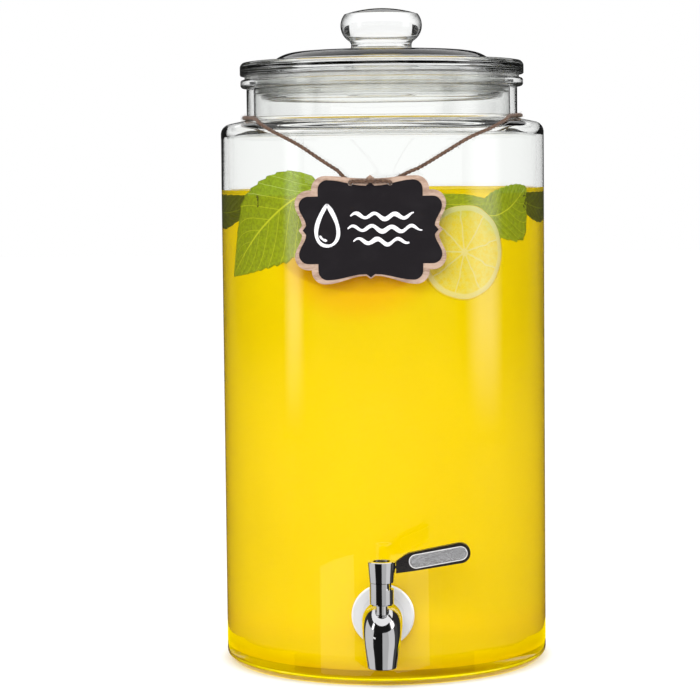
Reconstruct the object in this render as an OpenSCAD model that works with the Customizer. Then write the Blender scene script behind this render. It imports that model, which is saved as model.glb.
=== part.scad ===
// Glass drink dispenser: a straight jar with a necked mouth, a lift-off glass lid, a quarter-turn
// steel ball tap with a gripped lever, and a chalk tag that hangs on a twine round the neck.
// The jar stands on z = 0 with its axis on Z. The tap looks along -Y.

/* [Jar] */
// Outside diameter of the body
body_d = 185; // [175:1:205]
// Wall thickness of the body
body_wall = 4; // [3:0.25:5.5]
// Height at which the straight wall ends and the shoulder begins
wall_top = 302.3; // [285:0.5:330]
// Radius of the shoulder's edge
shoulder_r = 6; // [4:0.5:8]
// Slope of the shoulder up to the neck, degrees
shoulder_slope = 12; // [10:1:25]
// Outside diameter of the neck
neck_d = 155; // [145:1:160]
// Wall thickness of the neck
neck_wall = 5; // [4:0.25:6]
// Height of the rim, measured from the end of the straight wall
rim_rise = 30.9; // [28:0.1:45]
// How far the bead under the rim stands out from the neck
bead_out = 3.4; // [2.5:0.1:5.5]
// Height of the bead
bead_h = 4.8; // [4:0.1:7]
// Radius of the heel at the foot of the jar
heel_r = 6; // [4:0.5:8]
// Thickness of the glass floor
floor_t = 7.5; // [6:0.5:9]
// Depth of the hollow under the floor
punt_depth = 2.2; // [1:0.2:3]
// Width of the ring that the jar stands on
foot_w = 9; // [6:0.5:14]

/* [Lid] */
// Diameter of the lid's flange
lid_d = 162.4; // [160:0.2:172]
// Height of the flange's outer edge
flange_h = 6.4; // [5:0.2:8]
// Rise of the flange from its outer edge to the foot of the dome
flange_rise = 2.5; // [2:0.1:5]
// Diameter of the dome at its foot
dome_d = 123; // [110:1:124]
// Rise of the dome
dome_rise = 5.2; // [5:0.1:10]
// Thickness of the lid's glass
lid_wall = 5; // [4:0.25:6]
// Depth of the plug that goes into the neck
plug_depth = 14; // [10:0.5:18]
// Diameter of the knob's neck
knob_neck_d = 34.6; // [28:0.2:38]
// Greatest diameter of the knob
knob_d = 46.6; // [44:0.2:50]
// Radius of the knob's round side
knob_side_r = 10.3; // [9.5:0.1:11]
// Height of the widest part of the knob above the top of the dome
knob_rise = 14.3; // [12:0.1:15]
// Height that the knob's top stands above its widest part
knob_top_rise = 9.8; // [8.8:0.1:10]

/* [Lid seal] */
// Thickness of the silicone ring between the flange and the rim
seal_t = 2.1; // [1.5:0.1:3]
// Wall thickness of the silicone sleeve on the plug
sleeve_t = 1.5; // [1:0.1:2]
// Gap between the sleeve's ribs and the neck's bore
lid_gap = 0.3; // [0.2:0.05:0.5]
// Number of ribs round the sleeve
rib_count = 3; // [2:1:4]
// Height of one rib
rib_h = 1.4; // [1:0.1:1.8]

/* [Tap body] */
// Height of the tap's axis
tap_z = 40; // [38:0.5:60]
// Outside diameter of the shank
shank_d = 15.8; // [15:0.1:16.5]
// Diameter of the passage through the shank
shank_bore = 8; // [7:0.1:8.6]
// Gap round the shank in the hole in the glass
hole_gap = 0.5; // [0.3:0.1:1]
// Diameter of the wall plate
plate_d = 34.2; // [32:0.2:40]
// Thickness of the wall plate
plate_t = 1.6; // [1.2:0.1:2.5]
// Least thickness of the outer gasket
gasket_t = 1.4; // [1:0.1:2]
// Least thickness of the inner gasket, at its sides
inner_gasket_t = 1.3; // [1:0.1:2]
// Thickness of the steel washer
washer_t = 1.2; // [1:0.1:1.6]
// Diameter of the washer
washer_d = 26; // [24:0.5:28]
// Width across the lock nut's flats
nut_af = 22; // [20:0.5:24]
// Thickness of the lock nut
nut_t = 5.5; // [4.5:0.5:7]
// Length of shank beyond the lock nut
shank_tail = 3.5; // [2:0.5:6]
// Depth to which the shank goes into the spout
socket_depth = 15.5; // [14.5:0.5:16]

/* [Spout] */
// Straight length of the spout from the plate to its bend
spout_straight = 14.5; // [14:0.5:16]
// Radius of the bend along its middle
bend_r = 12; // [11.8:0.1:13]
// Radius of the spout at the plate
root_r = 11.6; // [11.2:0.1:11.6]
// Radius of the spout at its outlet
outlet_outer_r = 7.8; // [7.4:0.1:8.2]
// Radius of the outlet's bore
outlet_r = 6; // [5.6:0.1:6.2]
// Height of the outlet below the tap's axis
outlet_drop = 23.4; // [22:0.2:26]
// Radius of the rounding round the outlet
lip_r = 0.8; // [0.4:0.1:1]

/* [Valve] */
// Radius of the ball
ball_r = 4.6; // [4.4:0.1:4.7]
// Radius of the ball's passage
port_r = 2.5; // [2:0.1:2.6]
// Running clearance of the ball and the stem
running_gap = 0.05; // [0.03:0.01:0.08]
// Radius of the stem
stem_r = 2; // [1.8:0.1:2.2]
// Width of the tongue that turns the ball
tongue_w = 1.6; // [1.2:0.1:2]
// Depth of the tongue in the ball
tongue_depth = 1.3; // [1:0.1:1.6]
// Thickness of an O-ring
oring_d = 1.3; // [1.1:0.1:1.4]
// Height of the gland ring
gland_h = 4; // [3:0.5:5]

/* [Bonnet] */
// Radius of the bonnet
bonnet_r = 6.5; // [6.2:0.1:7]
// Height of the bonnet
bonnet_h = 12; // [11:0.5:14]
// Radius of the neck under the bonnet
bonnet_neck_r = 3.2; // [3:0.1:3.6]
// Height of the bonnet's underside above the tap's axis
bonnet_rise = 10.7; // [10.6:0.1:12]
// Depth of the stop slot
slot_h = 3.4; // [2.5:0.1:4]
// Diameter of the stop pin
pin_d = 1.6; // [1.2:0.1:1.8]
// Gap between the pin and each end of the slot, degrees
stop_gap = 3.3; // [2.5:0.1:5]
// Turn of the lever from closed to open, degrees
lever_turn = 90; // [60:1:95]

/* [Lever] */
// Gap between the bonnet and the lever's hub
hub_gap = 0.3; // [0.2:0.05:0.5]
// Radius of the hub at its foot
hub_foot_r = 6.7; // [6.3:0.1:7]
// Radius of the hub at its top
hub_top_r = 7.6; // [7:0.05:8]
// Height of the hub
hub_h = 11.2; // [10.5:0.1:13]
// Side of the stem's square end
square_w = 2.7; // [2.2:0.1:2.8]
// Distance from the hub's axis to the middle of the grip's round end
grip_reach = 41.9; // [35:0.1:50]
// Radius of the grip's round end
grip_end_r = 5.45; // [5:0.05:6]
// Radius of the grip near the hub
grip_root_r = 4.95; // [4.6:0.05:5.4]
// Rise of the lever, degrees
lever_rise = 10.2; // [6:0.2:14]
// Thickness of the grip
grip_t = 5; // [4.5:0.1:6]
// Thickness of the steel tang inside the grip
tang_t = 2.2; // [1.8:0.1:2.6]
// Depth of grip round the edge of the tang
grip_cover = 2.3; // [2:0.1:2.6]
// Length of the textured pad
pad_l = 31.5; // [26:0.5:31.5]
// Height of the textured pad
pad_h = 7.5; // [6:0.1:8]
// Depth of the pad's seat in the grip
pad_seat = 0.6; // [0.4:0.1:0.8]
// How far the pad stands out of the grip
pad_proud = 0.2; // [0.1:0.1:0.4]

/* [Tag] */
// Width of the tag
tag_w = 81.4; // [70:0.2:90]
// Height of the tag
tag_h = 58.2; // [52:0.2:64]
// Thickness of the wooden board
board_t = 3; // [2.4:0.1:4]
// Width of the bare wood round the chalk face
border_w = 2.2; // [1.6:0.1:3]
// Thickness of the chalk face
face_t = 0.8; // [0.6:0.1:1.2]
// Depth of the chalk face in the board
face_seat = 0.6; // [0.3:0.1:0.6]
// Radius of the rounded lobes
lobe_r = 7.3; // [6:0.1:8]
// Gap between the board and the glass
tag_gap = 2.4; // [2.4:0.1:3]
// Distance between the two holes
hole_pitch = 21.2; // [18:0.2:24]
// Diameter of the holes
hole_d = 2.6; // [2.5:0.1:3]
// Distance from the tag's middle up to the holes
hole_up = 25.2; // [24.8:0.1:25.4]

/* [Twine] */
// Diameter of the twine
twine_d = 2.2; // [2:0.1:2.4]

/* [Hidden] */
$fn = 96;
eps = 0.01;

// Jar, worked out
body_r = body_d / 2;
neck_r = neck_d / 2;
bore_r = neck_r - neck_wall;
inner_r = body_r - body_wall;
shoulder_x = body_r - shoulder_r;
rim_z = wall_top + rim_rise;
// Point where the shoulder's edge meets its slope, and the height of the slope at the neck
slope_x = shoulder_x + shoulder_r * sin(shoulder_slope);
slope_z = wall_top + shoulder_r * cos(shoulder_slope);
neck_z = slope_z + (slope_x - neck_r) * tan(shoulder_slope);
inner_shoulder_r = shoulder_r - body_wall / 2;
inner_slope_x = inner_r - inner_shoulder_r * (1 - sin(shoulder_slope));
inner_slope_z = wall_top + inner_shoulder_r * cos(shoulder_slope) - body_wall / 2;
inner_neck_z = inner_slope_z + (inner_slope_x - bore_r) * tan(shoulder_slope);
inner_heel_r = 9;
neck_split = wall_top - body_wall / 2;

// Lid, worked out
lid_r = lid_d / 2;
dome_r = dome_d / 2;
flange_z = rim_z + seal_t;
dome_foot_z = flange_z + flange_h + flange_rise;
dome_fullness = 10;
dome_top_z = dome_foot_z + dome_rise;
knob_r = knob_d / 2;
knob_mid_z = dome_top_z + knob_rise;
knob_mid_x = knob_r - knob_side_r;
knob_top_z = knob_mid_z + knob_top_rise;
knob_neck_r = knob_neck_d / 2;
// The knob's edge is where its side turns over into its crown
knob_edge_angle = 39;
knob_foot_angle = -60;
plug_r = bore_r - lid_gap - sleeve_t - 1.2;
rib_r = bore_r - lid_gap;
plug_z = flange_z - plug_depth;
seal_r = neck_r + 1.1;

// Tap, worked out: distances are measured forwards from the jar's axis
shank_r = shank_d / 2;
hole_r = shank_r + hole_gap;
plate_back = body_r + gasket_t;
plate_front = plate_back + plate_t;
washer_r = washer_d / 2;
inner_gasket_back = sqrt(inner_r * inner_r - washer_r * washer_r) - inner_gasket_t;
washer_back = inner_gasket_back - washer_t;
nut_back = washer_back - nut_t;
shank_back = nut_back - shank_tail;
shank_front = plate_front + socket_depth;
bend_start = plate_front + spout_straight;
stem_y = bend_start + bend_r;
outlet_z = tap_z - outlet_drop;
cavity_r = ball_r + 2 * running_gap;
seat_face_r = ball_r + running_gap / 2;
outlet_seat_r = port_r + 0.9;
outlet_seat_z = tap_z - 7;
inlet_seat_front = stem_y - sqrt(ball_r * ball_r - port_r * port_r) + 0.4;
stem_bore_r = stem_r + running_gap;
spout_length = spout_straight + bend_r * PI / 2 + outlet_drop - bend_r;

// Bonnet, stem and lever, worked out
bonnet_z = tap_z + bonnet_rise;
bonnet_top = bonnet_z + bonnet_h;
neck_foot = tap_z + cavity_r + 0.9;
packing_r = stem_r + oring_d + running_gap;
packing_z = bonnet_z + 3.5;
gland_z = bonnet_top - gland_h;
pin_r = pin_d / 2;
pin_orbit = (packing_r + 1 + bonnet_r) / 2;
pin_half_angle = asin(pin_r / pin_orbit);
// How far the pin goes up into the hub
pin_seat = 2.4;
// Azimuth of the stop pin, from the front towards +X, with the lever closed and open
pin_closed = 128;
pin_open = pin_closed - lever_turn;
slot_from = pin_open - pin_half_angle - stop_gap;
slot_to = pin_closed + pin_half_angle + stop_gap;
hub_z = bonnet_top + hub_gap;
hub_top = hub_z + hub_h;
recess_depth = 2.6;
recess_r = 4.6;
square_z = hub_z + 3;
stem_top = hub_top - recess_depth - 0.6;
screw_r = 1.2;
screw_depth = 4;
ball_top = tap_z + ball_r;
grip_root_x = 16.3;
grip_root_z = hub_top - 0.2;
grip_mid_x = (grip_root_x + grip_reach) / 2;
grip_end_z = grip_root_z + (grip_reach - grip_root_x) * tan(lever_rise);
grip_foot_x = hub_top_r + 0.15;
grip_foot_z = hub_z + 4.9;
tang_gap = 0.05;

// Tag, worked out
tag_x = -4.8;
tag_z = 249.7;
board_back = body_r + tag_gap;
board_front = board_back + board_t;
hole_z = tag_z + hole_up;
// The tag swings about the line where the twine comes to its top edge
hinge_y = board_back - twine_d / 2 - 0.2;
hinge_z = tag_z + tag_h / 2 + 0.6;
twine_r = twine_d / 2;
front_strand_y = board_front + twine_r + 0.1;

// ---------------------------------------------------------------- helpers

function arc(cx, cy, r, from, to, n) =
    [for (i = [0:n]) let (a = from + (to - from) * i / n) [cx + r * cos(a), cy + r * sin(a)]];
function reversed(list) = [for (i = [len(list) - 1:-1:0]) list[i]];
function unit(v) = v / norm(v);
// A place on the jar, by its azimuth from the front towards +X, its radius and its height
function place(p) = [p[1] * sin(p[0]), -p[1] * cos(p[0]), p[2]];
// One point of a smooth curve through a, b, c and d, between b and c
function blend(a, b, c, d, t) =
    0.5 * (2 * b + (c - a) * t + (2 * a - 5 * b + 4 * c - d) * t * t
           + (3 * b - a - 3 * c + d) * t * t * t);
function smooth(p, n) =
    concat([for (i = [0:len(p) - 2]) for (k = [0:n - 1])
                blend(p[max(i - 1, 0)], p[i], p[i + 1], p[min(i + 2, len(p) - 1)], k / n)],
           [p[len(p) - 1]]);
function headings(p) =
    [for (i = [0:len(p) - 1]) unit(p[min(i + 1, len(p) - 1)] - p[max(i - 1, 0)])];
// A side direction for each point of a path, carried along without twist
function sides_of(t, first) =
    [for (i = 0, s = unit(first - (first * t[0]) * t[0]); i < len(t);
          i = i + 1,
          s = i < len(t) ? unit(s - (s * t[i]) * t[i]) : s) s];

// A solid swept along a path, with a radius for each of its points
module sweep(path, radii, around, first_side) {
    t = headings(path);
    s = sides_of(t, first_side);
    rings = len(path);
    points = [for (i = [0:rings - 1]) for (k = [0:around - 1])
                  path[i] + radii[i] * (cos(360 * k / around) * s[i]
                                        + sin(360 * k / around) * cross(t[i], s[i]))];
    skin = [for (i = [0:rings - 2]) for (k = [0:around - 1])
                let (j = (k + 1) % around, a = i * around, b = a + around)
                for (f = [[a + k, b + k, b + j], [a + k, b + j, a + j]]) f];
    start_cap = [[for (k = [0:around - 1]) k]];
    end_cap = [[for (k = [around - 1:-1:0]) (rings - 1) * around + k]];
    polyhedron(points = points, faces = concat(skin, start_cap, end_cap), convexity = 8);
}

// Places its children with their Z along -Y, so that a height becomes a distance forwards
module forwards(z) {
    translate([0, 0, z]) rotate([90, 0, 0]) children();
}

// Places its children on the stem's axis
module at_stem(z) {
    translate([0, -stem_y, z]) children();
}

// ---------------------------------------------------------------- jar and lid

module jar_outline() {
    polygon(concat(
        [[0, 0], [body_r - heel_r, 0]],
        arc(body_r - heel_r, heel_r, heel_r, -90, 0, 8),
        arc(shoulder_x, wall_top, shoulder_r, 0, 90 - shoulder_slope, 8),
        [[neck_r + 1.5, neck_z - 1.5 * tan(shoulder_slope)], [neck_r, neck_z + 1.2]],
        [[neck_r, rim_z - bead_h - 0.6]],
        arc(neck_r + bead_out - 1.8, rim_z - bead_h + 1.8, 1.8, -90, 0, 4),
        arc(neck_r + bead_out - 1.4, rim_z - 1.4, 1.4, 0, 90, 4),
        [[0, rim_z]]));
}

module jar_hollow() {
    polygon(concat(
        [[0, floor_t]],
        arc(inner_r - inner_heel_r, floor_t + inner_heel_r, inner_heel_r, -90, 0, 8),
        arc(inner_r - inner_shoulder_r, wall_top - body_wall / 2, inner_shoulder_r, 0,
            90 - shoulder_slope, 6),
        [[bore_r + 1.5, inner_neck_z - 1.5 * tan(shoulder_slope)], [bore_r, inner_neck_z + 1.5]],
        [[bore_r, rim_z - 1.2]],
        [[bore_r + 0.8, rim_z + eps], [0, rim_z + eps]]));
}

// The glass between two heights
module jar_glass(from_z, to_z) {
    punt_r = body_r - heel_r - foot_w;
    rotate_extrude($fn = 180) difference() {
        intersection() {
            jar_outline();
            translate([0, from_z]) square([body_r + 1, to_z - from_z]);
        }
        jar_hollow();
        polygon([[0, -eps], [punt_r, -eps], [punt_r - punt_depth, punt_depth], [0, punt_depth]]);
    }
}

// The glass is one casting, drawn as its body and its neck, which meet where the shoulder starts
module jar() color([0.86, 0.94, 0.9, 0.35]) {
    difference() {
        jar_glass(0, neck_split);
        forwards(tap_z) translate([0, 0, inner_r - body_wall]) cylinder(r = hole_r, h = 3 * body_wall);
    }
}

module jar_neck() color([0.86, 0.94, 0.9, 0.35]) {
    jar_glass(neck_split, rim_z);
}

// Height of the dome's outside at a radius: flat on top, turning down steeply at its edge
function dome_z(r) = dome_foot_z + dome_rise * (1 - pow(r / dome_r, dome_fullness));

module lid_outline() {
    edge_z = knob_mid_z + knob_side_r * sin(knob_edge_angle);
    edge_x = knob_mid_x + knob_side_r * cos(knob_edge_angle);
    crown = knob_top_z - edge_z;
    crown_r = (edge_x * edge_x + crown * crown) / (2 * crown);
    crown_angle = asin(edge_x / crown_r);
    foot_x = knob_mid_x + knob_side_r * cos(knob_foot_angle);
    foot_z = knob_mid_z + knob_side_r * sin(knob_foot_angle);
    polygon(concat(
        reversed(arc(0, knob_top_z - crown_r, crown_r, 90 - crown_angle, 90, 4)),
        reversed(arc(knob_mid_x, knob_mid_z, knob_side_r, knob_foot_angle, knob_edge_angle, 12)),
        [[knob_neck_r + 0.1, (foot_z + 2 * dome_top_z) / 3 + 0.9]],
        [[knob_neck_r + 0.4, dome_top_z + 0.5], [knob_neck_r + 1.6, dome_z(knob_neck_r + 1.6)]],
        [for (f = [0.5, 0.65, 0.76, 0.84, 0.9, 0.95, 0.985]) [f * dome_r, dome_z(f * dome_r)]],
        [[dome_r + 1, dome_foot_z - 0.2], [lid_r - 4.6, flange_z + flange_h + 1.7]],
        arc(lid_r - 3.4, flange_z + flange_h - 1.8, 3.4, 65, 5, 5),
        arc(lid_r - 1, flange_z + 1, 1, 0, -90, 3),
        [[plug_r, flange_z], [plug_r, plug_z + 2]],
        arc(plug_r - lid_wall / 2, plug_z + lid_wall / 2, lid_wall / 2, 0, -180, 8),
        [[plug_r - lid_wall, flange_z + 1]],
        arc(plug_r - lid_wall - 4, flange_z + 1, 4, 0, 70, 4),
        [for (f = [0.96, 0.88, 0.76, 0.6, 0.4]) [f * dome_r, dome_z(f * dome_r) - lid_wall]],
        [[0, dome_z(0) - lid_wall]]));
}

module lid() color([0.88, 0.94, 0.92, 0.35]) {
    rotate(45) rotate_extrude($fn = 180) lid_outline();
}

module lid_seal() color([0.95, 0.96, 0.95, 0.6]) {
    sleeve_foot = plug_z + 3;
    rib_pitch = (rim_z - sleeve_foot - rib_h) / rib_count;
    sleeve_mid = plug_r + sleeve_t / 2;
    rotate_extrude($fn = 180) union() {
        translate([plug_r, rim_z]) square([seal_r - plug_r, seal_t]);
        translate([plug_r, sleeve_foot]) square([sleeve_t, rim_z - sleeve_foot + eps]);
        for (i = [0:rib_count - 1])
            translate([0, sleeve_foot + i * rib_pitch])
                polygon([[sleeve_mid, 0], [plug_r + sleeve_t, 0], [rib_r, rib_h * 0.25],
                         [rib_r, rib_h * 0.75], [plug_r + sleeve_t, rib_h], [sleeve_mid, rib_h]]);
    }
}

// ---------------------------------------------------------------- tap, fixed pieces

// The spout is a horn: it leaves the plate level, bends down and narrows all the way to its lip
function horn_radius(d) = root_r - (root_r - outlet_outer_r) * pow(d / spout_length, 2.3);
function horn_point(d) =
    d <= spout_straight ? [0, -plate_front - d, tap_z] :
    let (turn = (d - spout_straight) / bend_r * 180 / PI)
    turn < 90 ? [0, -bend_start - bend_r * sin(turn), tap_z - bend_r * (1 - cos(turn))] :
    [0, -stem_y, tap_z - bend_r - (d - spout_straight - bend_r * PI / 2)];

module horn() {
    stations = 22;
    lip = [for (a = [30, 60, 90]) [spout_length - lip_r * (1 - sin(a)),
                                   horn_radius(spout_length) - lip_r * (1 - cos(a))]];
    body = [for (i = [0:stations]) let (d = (spout_length - lip_r) * i / stations)
                [d, horn_radius(d)]];
    run = concat(body, lip);
    sweep([for (s = run) horn_point(s[0])], [for (s = run) s[1]], 40, [1, 0, 0]);
}

module spout() color("silver") {
    difference() {
        horn();
        // Socket for the shank, then the chamber that the ball goes in through
        forwards(tap_z) translate([0, 0, plate_front - 1])
            cylinder(r = shank_r + running_gap, h = socket_depth + 1);
        forwards(tap_z) translate([0, 0, plate_front]) cylinder(r = cavity_r, h = stem_y - plate_front);
        at_stem(tap_z) sphere(r = cavity_r);
        // Pocket of the lower seat, and the outlet
        at_stem(outlet_seat_z) cylinder(r = outlet_seat_r + running_gap, h = tap_z - outlet_seat_z);
        at_stem(outlet_z - 1) cylinder(r = outlet_r, h = outlet_seat_z - outlet_z + 1);
        // Stem hole, and the socket of the bonnet's neck
        at_stem(tap_z) cylinder(r = stem_bore_r, h = root_r + 2);
        at_stem(neck_foot) cylinder(r = bonnet_neck_r + running_gap, h = root_r);
    }
}

module tap_shank() color("silver") {
    difference() {
        forwards(tap_z) translate([0, 0, shank_back]) union() {
            cylinder(r1 = shank_r - 1, r2 = shank_r, h = 1);
            translate([0, 0, 1]) cylinder(r = shank_r, h = shank_front - shank_back - 1);
        }
        forwards(tap_z) translate([0, 0, shank_back - 1])
            cylinder(d = shank_bore, h = shank_front - shank_back + 2);
    }
}

module wall_plate() color([0.86, 0.87, 0.88]) {
    edge = plate_t / 2;
    difference() {
        forwards(tap_z) translate([0, 0, plate_back]) union() {
            cylinder(d = plate_d, h = plate_t - edge);
            translate([0, 0, plate_t - edge]) cylinder(d1 = plate_d, d2 = plate_d - 2 * edge, h = edge);
        }
        forwards(tap_z) translate([0, 0, plate_back - 1])
            cylinder(r = shank_r + running_gap, h = plate_t + 2);
    }
}

module outer_gasket() color([0.25, 0.26, 0.27]) {
    gasket_d = plate_d - 1.2;
    difference() {
        forwards(tap_z) translate([0, 0, inner_r]) cylinder(d = gasket_d, h = plate_back - inner_r);
        cylinder(r = body_r, h = tap_z + plate_d, $fn = 180);
        forwards(tap_z) translate([0, 0, inner_r - 1])
            cylinder(r = shank_r + running_gap, h = plate_back - inner_r + 2);
    }
}

module inner_gasket() color([0.92, 0.93, 0.93]) {
    difference() {
        intersection() {
            forwards(tap_z) translate([0, 0, inner_gasket_back])
                cylinder(r = washer_r, h = inner_r - inner_gasket_back);
            cylinder(r = inner_r, h = tap_z + washer_d, $fn = 180);
        }
        forwards(tap_z) translate([0, 0, inner_gasket_back - 1])
            cylinder(r = shank_r + running_gap, h = inner_r - inner_gasket_back + 2);
    }
}

module washer() color("gainsboro") {
    forwards(tap_z) translate([0, 0, washer_back]) difference() {
        cylinder(r = washer_r, h = washer_t);
        translate([0, 0, -1]) cylinder(r = shank_r + running_gap, h = washer_t + 2);
    }
}

module lock_nut() color("silver") {
    forwards(tap_z) translate([0, 0, nut_back]) difference() {
        intersection() {
            cylinder(d = nut_af / cos(30), h = nut_t, $fn = 6);
            // Turned corners
            union() {
                cylinder(d1 = nut_af, d2 = nut_af + 2 * nut_t, h = nut_t - 1.4);
                translate([0, 0, nut_t - 1.4]) cylinder(d1 = nut_af + 4, d2 = nut_af, h = 1.4);
            }
        }
        translate([0, 0, -1]) cylinder(r = shank_r + running_gap, h = nut_t + 2);
    }
}

// A wedge that keeps what lies between two azimuths, up to a turn of 180 degrees
module between(from, to, r, h) {
    linear_extrude(height = h)
        polygon(concat([[0, 0]], [for (i = [0:6]) let (a = from + (to - from) * i / 6)
                                      [r * sin(a), -r * cos(a)]]));
}

module bonnet() color("silver") {
    difference() {
        at_stem(0) union() {
            translate([0, 0, neck_foot]) cylinder(r = bonnet_neck_r, h = bonnet_z - neck_foot + 1);
            translate([0, 0, bonnet_z]) cylinder(r1 = bonnet_r - 0.8, r2 = bonnet_r, h = 0.8);
            translate([0, 0, bonnet_z + 0.8]) cylinder(r = bonnet_r, h = bonnet_h - 0.8);
        }
        at_stem(neck_foot - 1) cylinder(r = stem_bore_r, h = bonnet_top - neck_foot + 2);
        at_stem(packing_z) cylinder(r = packing_r, h = bonnet_top - packing_z + 1);
        // Slot in the rim that the stop pin runs in
        at_stem(bonnet_top - slot_h) intersection() {
            between(slot_from, slot_to, 2 * bonnet_r, slot_h + 1);
            difference() {
                cylinder(r = bonnet_r + 1, h = slot_h + 1);
                translate([0, 0, -1]) cylinder(r = pin_orbit - pin_r - hub_gap, h = slot_h + 3);
            }
        }
    }
}

module gland_ring() color("goldenrod") {
    at_stem(gland_z) difference() {
        cylinder(r = packing_r - running_gap, h = gland_h);
        translate([0, 0, -1]) cylinder(r = stem_bore_r, h = gland_h + 2);
    }
}

module inlet_seat() color("white") {
    difference() {
        forwards(tap_z) translate([0, 0, shank_front])
            cylinder(r = cavity_r - running_gap, h = inlet_seat_front - shank_front);
        forwards(tap_z) translate([0, 0, shank_front - 1])
            cylinder(r = port_r, h = inlet_seat_front - shank_front + 2);
        at_stem(tap_z) sphere(r = seat_face_r);
    }
}

module outlet_seat() color("white") {
    difference() {
        at_stem(outlet_seat_z) cylinder(r = outlet_seat_r, h = tap_z - sqrt(pow(ball_r, 2)
                                        - pow(outlet_seat_r, 2)) - outlet_seat_z);
        at_stem(outlet_seat_z - 1) cylinder(r = port_r, h = tap_z - outlet_seat_z);
        at_stem(tap_z) sphere(r = seat_face_r);
    }
}

// ---------------------------------------------------------------- tap, turning pieces

module valve_ball() color("silver") {
    at_stem(tap_z) difference() {
        sphere(r = ball_r);
        // The way down is always open; the side port looks to -X while the tap is closed
        translate([0, 0, -ball_r - 1]) cylinder(r = port_r, h = ball_r + 1);
        rotate([0, -90, 0]) cylinder(r = port_r, h = ball_r + 1);
        translate([-ball_r, -tongue_w / 2 - running_gap, ball_r - tongue_depth])
            cube([2 * ball_r, tongue_w + 2 * running_gap, tongue_depth + 1]);
    }
}

module valve_stem() color("silver") {
    tongue_z = ball_top - tongue_depth + running_gap;
    shoulder = tap_z + cavity_r + running_gap;
    difference() {
        at_stem(0) union() {
            intersection() {
                translate([-stem_r, -tongue_w / 2, tongue_z])
                    cube([2 * stem_r, tongue_w, shoulder - tongue_z + 1]);
                translate([0, 0, tongue_z - 1]) cylinder(r = stem_r, h = shoulder);
            }
            translate([0, 0, shoulder]) cylinder(r = stem_r, h = square_z - shoulder);
            translate([-square_w / 2, -square_w / 2, square_z - 0.5])
                cube([square_w, square_w, stem_top - square_z + 0.5]);
        }
        at_stem(stem_top - screw_depth - 0.5) cylinder(r = screw_r, h = screw_depth + 1);
    }
}

module stem_orings() color([0.12, 0.12, 0.12]) {
    ring_pitch = (gland_z - packing_z) / 2;
    for (i = [0, 1])
        at_stem(packing_z + ring_pitch * (i + 0.5))
            rotate_extrude() translate([stem_r + oring_d / 2, 0]) circle(d = oring_d);
}

module stop_pin() color("silver") {
    at_stem(bonnet_top - slot_h + hub_gap)
        translate([pin_orbit * sin(pin_closed), -pin_orbit * cos(pin_closed), 0])
            cylinder(r = pin_r, h = slot_h + pin_seat, $fn = 32);
}

// Outline of the grip and tang in the lever's own plane, shrunk by a margin. X is the reach.
module lever_outline(margin) {
    root = grip_root_r - margin;
    end = grip_end_r - margin;
    up = [-sin(lever_rise), cos(lever_rise)];
    root_c = [grip_root_x, grip_root_z];
    end_c = [grip_reach, grip_end_z];
    union() {
        translate(root_c) circle(r = root);
        translate(end_c) circle(r = end);
        polygon([root_c + root * up, root_c - root * up, end_c - end * up, end_c + end * up]);
        // The wedge that narrows towards the hub
        polygon([root_c + root * up, root_c - root * up,
                 [grip_foot_x, grip_foot_z + margin], [grip_foot_x, hub_top - margin],
                 root_c + root * (0.7 * up - [0.7, 0])]);
    }
}

module lever() color("silver") {
    // The tang runs on into the hub
    tang_root = recess_r + 1;
    difference() {
        union() {
            at_stem(hub_z) cylinder(r1 = hub_foot_r, r2 = hub_top_r, h = hub_h - 0.3);
            at_stem(hub_top - 0.3) cylinder(r1 = hub_top_r, r2 = hub_top_r - 0.3, h = 0.3);
            translate([0, -stem_y + tang_t / 2, 0]) rotate([90, 0, 0])
                linear_extrude(height = tang_t) union() {
                    lever_outline(grip_cover);
                    polygon([[tang_root, grip_foot_z + grip_cover + 0.3],
                             [tang_root, hub_top - grip_cover],
                             [grip_foot_x + 1, hub_top - grip_cover],
                             [grip_foot_x + 1, grip_foot_z + grip_cover + 0.1]]);
                }
        }
        at_stem(hub_top - recess_depth) cylinder(r = recess_r, h = recess_depth + 1);
        at_stem(hub_z - 1) cylinder(r = stem_bore_r, h = square_z - hub_z + 1);
        at_stem(square_z - 0.5) translate([-square_w / 2 - running_gap, -square_w / 2 - running_gap, 0])
            cube([square_w + 2 * running_gap, square_w + 2 * running_gap, hub_h]);
        at_stem(hub_z - 1) translate([pin_orbit * sin(pin_closed), -pin_orbit * cos(pin_closed), 0])
            cylinder(r = pin_r, h = pin_seat + 1, $fn = 32);
    }
}

module pad_outline(grow) {
    run = pad_l - pad_h;
    translate([grip_mid_x + 1.1, (grip_root_z + grip_end_z) / 2 + 0.2]) rotate(lever_rise) union() {
        translate([-run / 2, -pad_h / 2 - grow]) square([run, pad_h + 2 * grow]);
        for (side = [-1, 1]) translate([side * run / 2, 0]) circle(r = pad_h / 2 + grow);
    }
}

module lever_grip() color([0.1, 0.1, 0.1]) {
    soft = 0.5;
    translate([0, -stem_y, 0]) rotate([90, 0, 0]) difference() {
        union() {
            translate([0, 0, -grip_t / 2 + soft]) linear_extrude(height = grip_t - 2 * soft)
                lever_outline(0);
            translate([0, 0, -grip_t / 2]) linear_extrude(height = grip_t) lever_outline(soft);
        }
        // Pocket for the tang, open towards the hub
        translate([0, 0, -tang_t / 2 - tang_gap]) linear_extrude(height = tang_t + 2 * tang_gap) union() {
            lever_outline(grip_cover - tang_gap);
            translate([grip_foot_x - 2, grip_foot_z + grip_cover - 0.1])
                square([4, hub_top - grip_foot_z - 2 * grip_cover + 0.3]);
        }
        for (side = [-1, 1])
            translate([0, 0, side * (grip_t / 2 - pad_seat / 2 + 0.5) - pad_seat / 2 - 0.5])
                linear_extrude(height = pad_seat + 1) pad_outline(tang_gap);
    }
}

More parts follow.
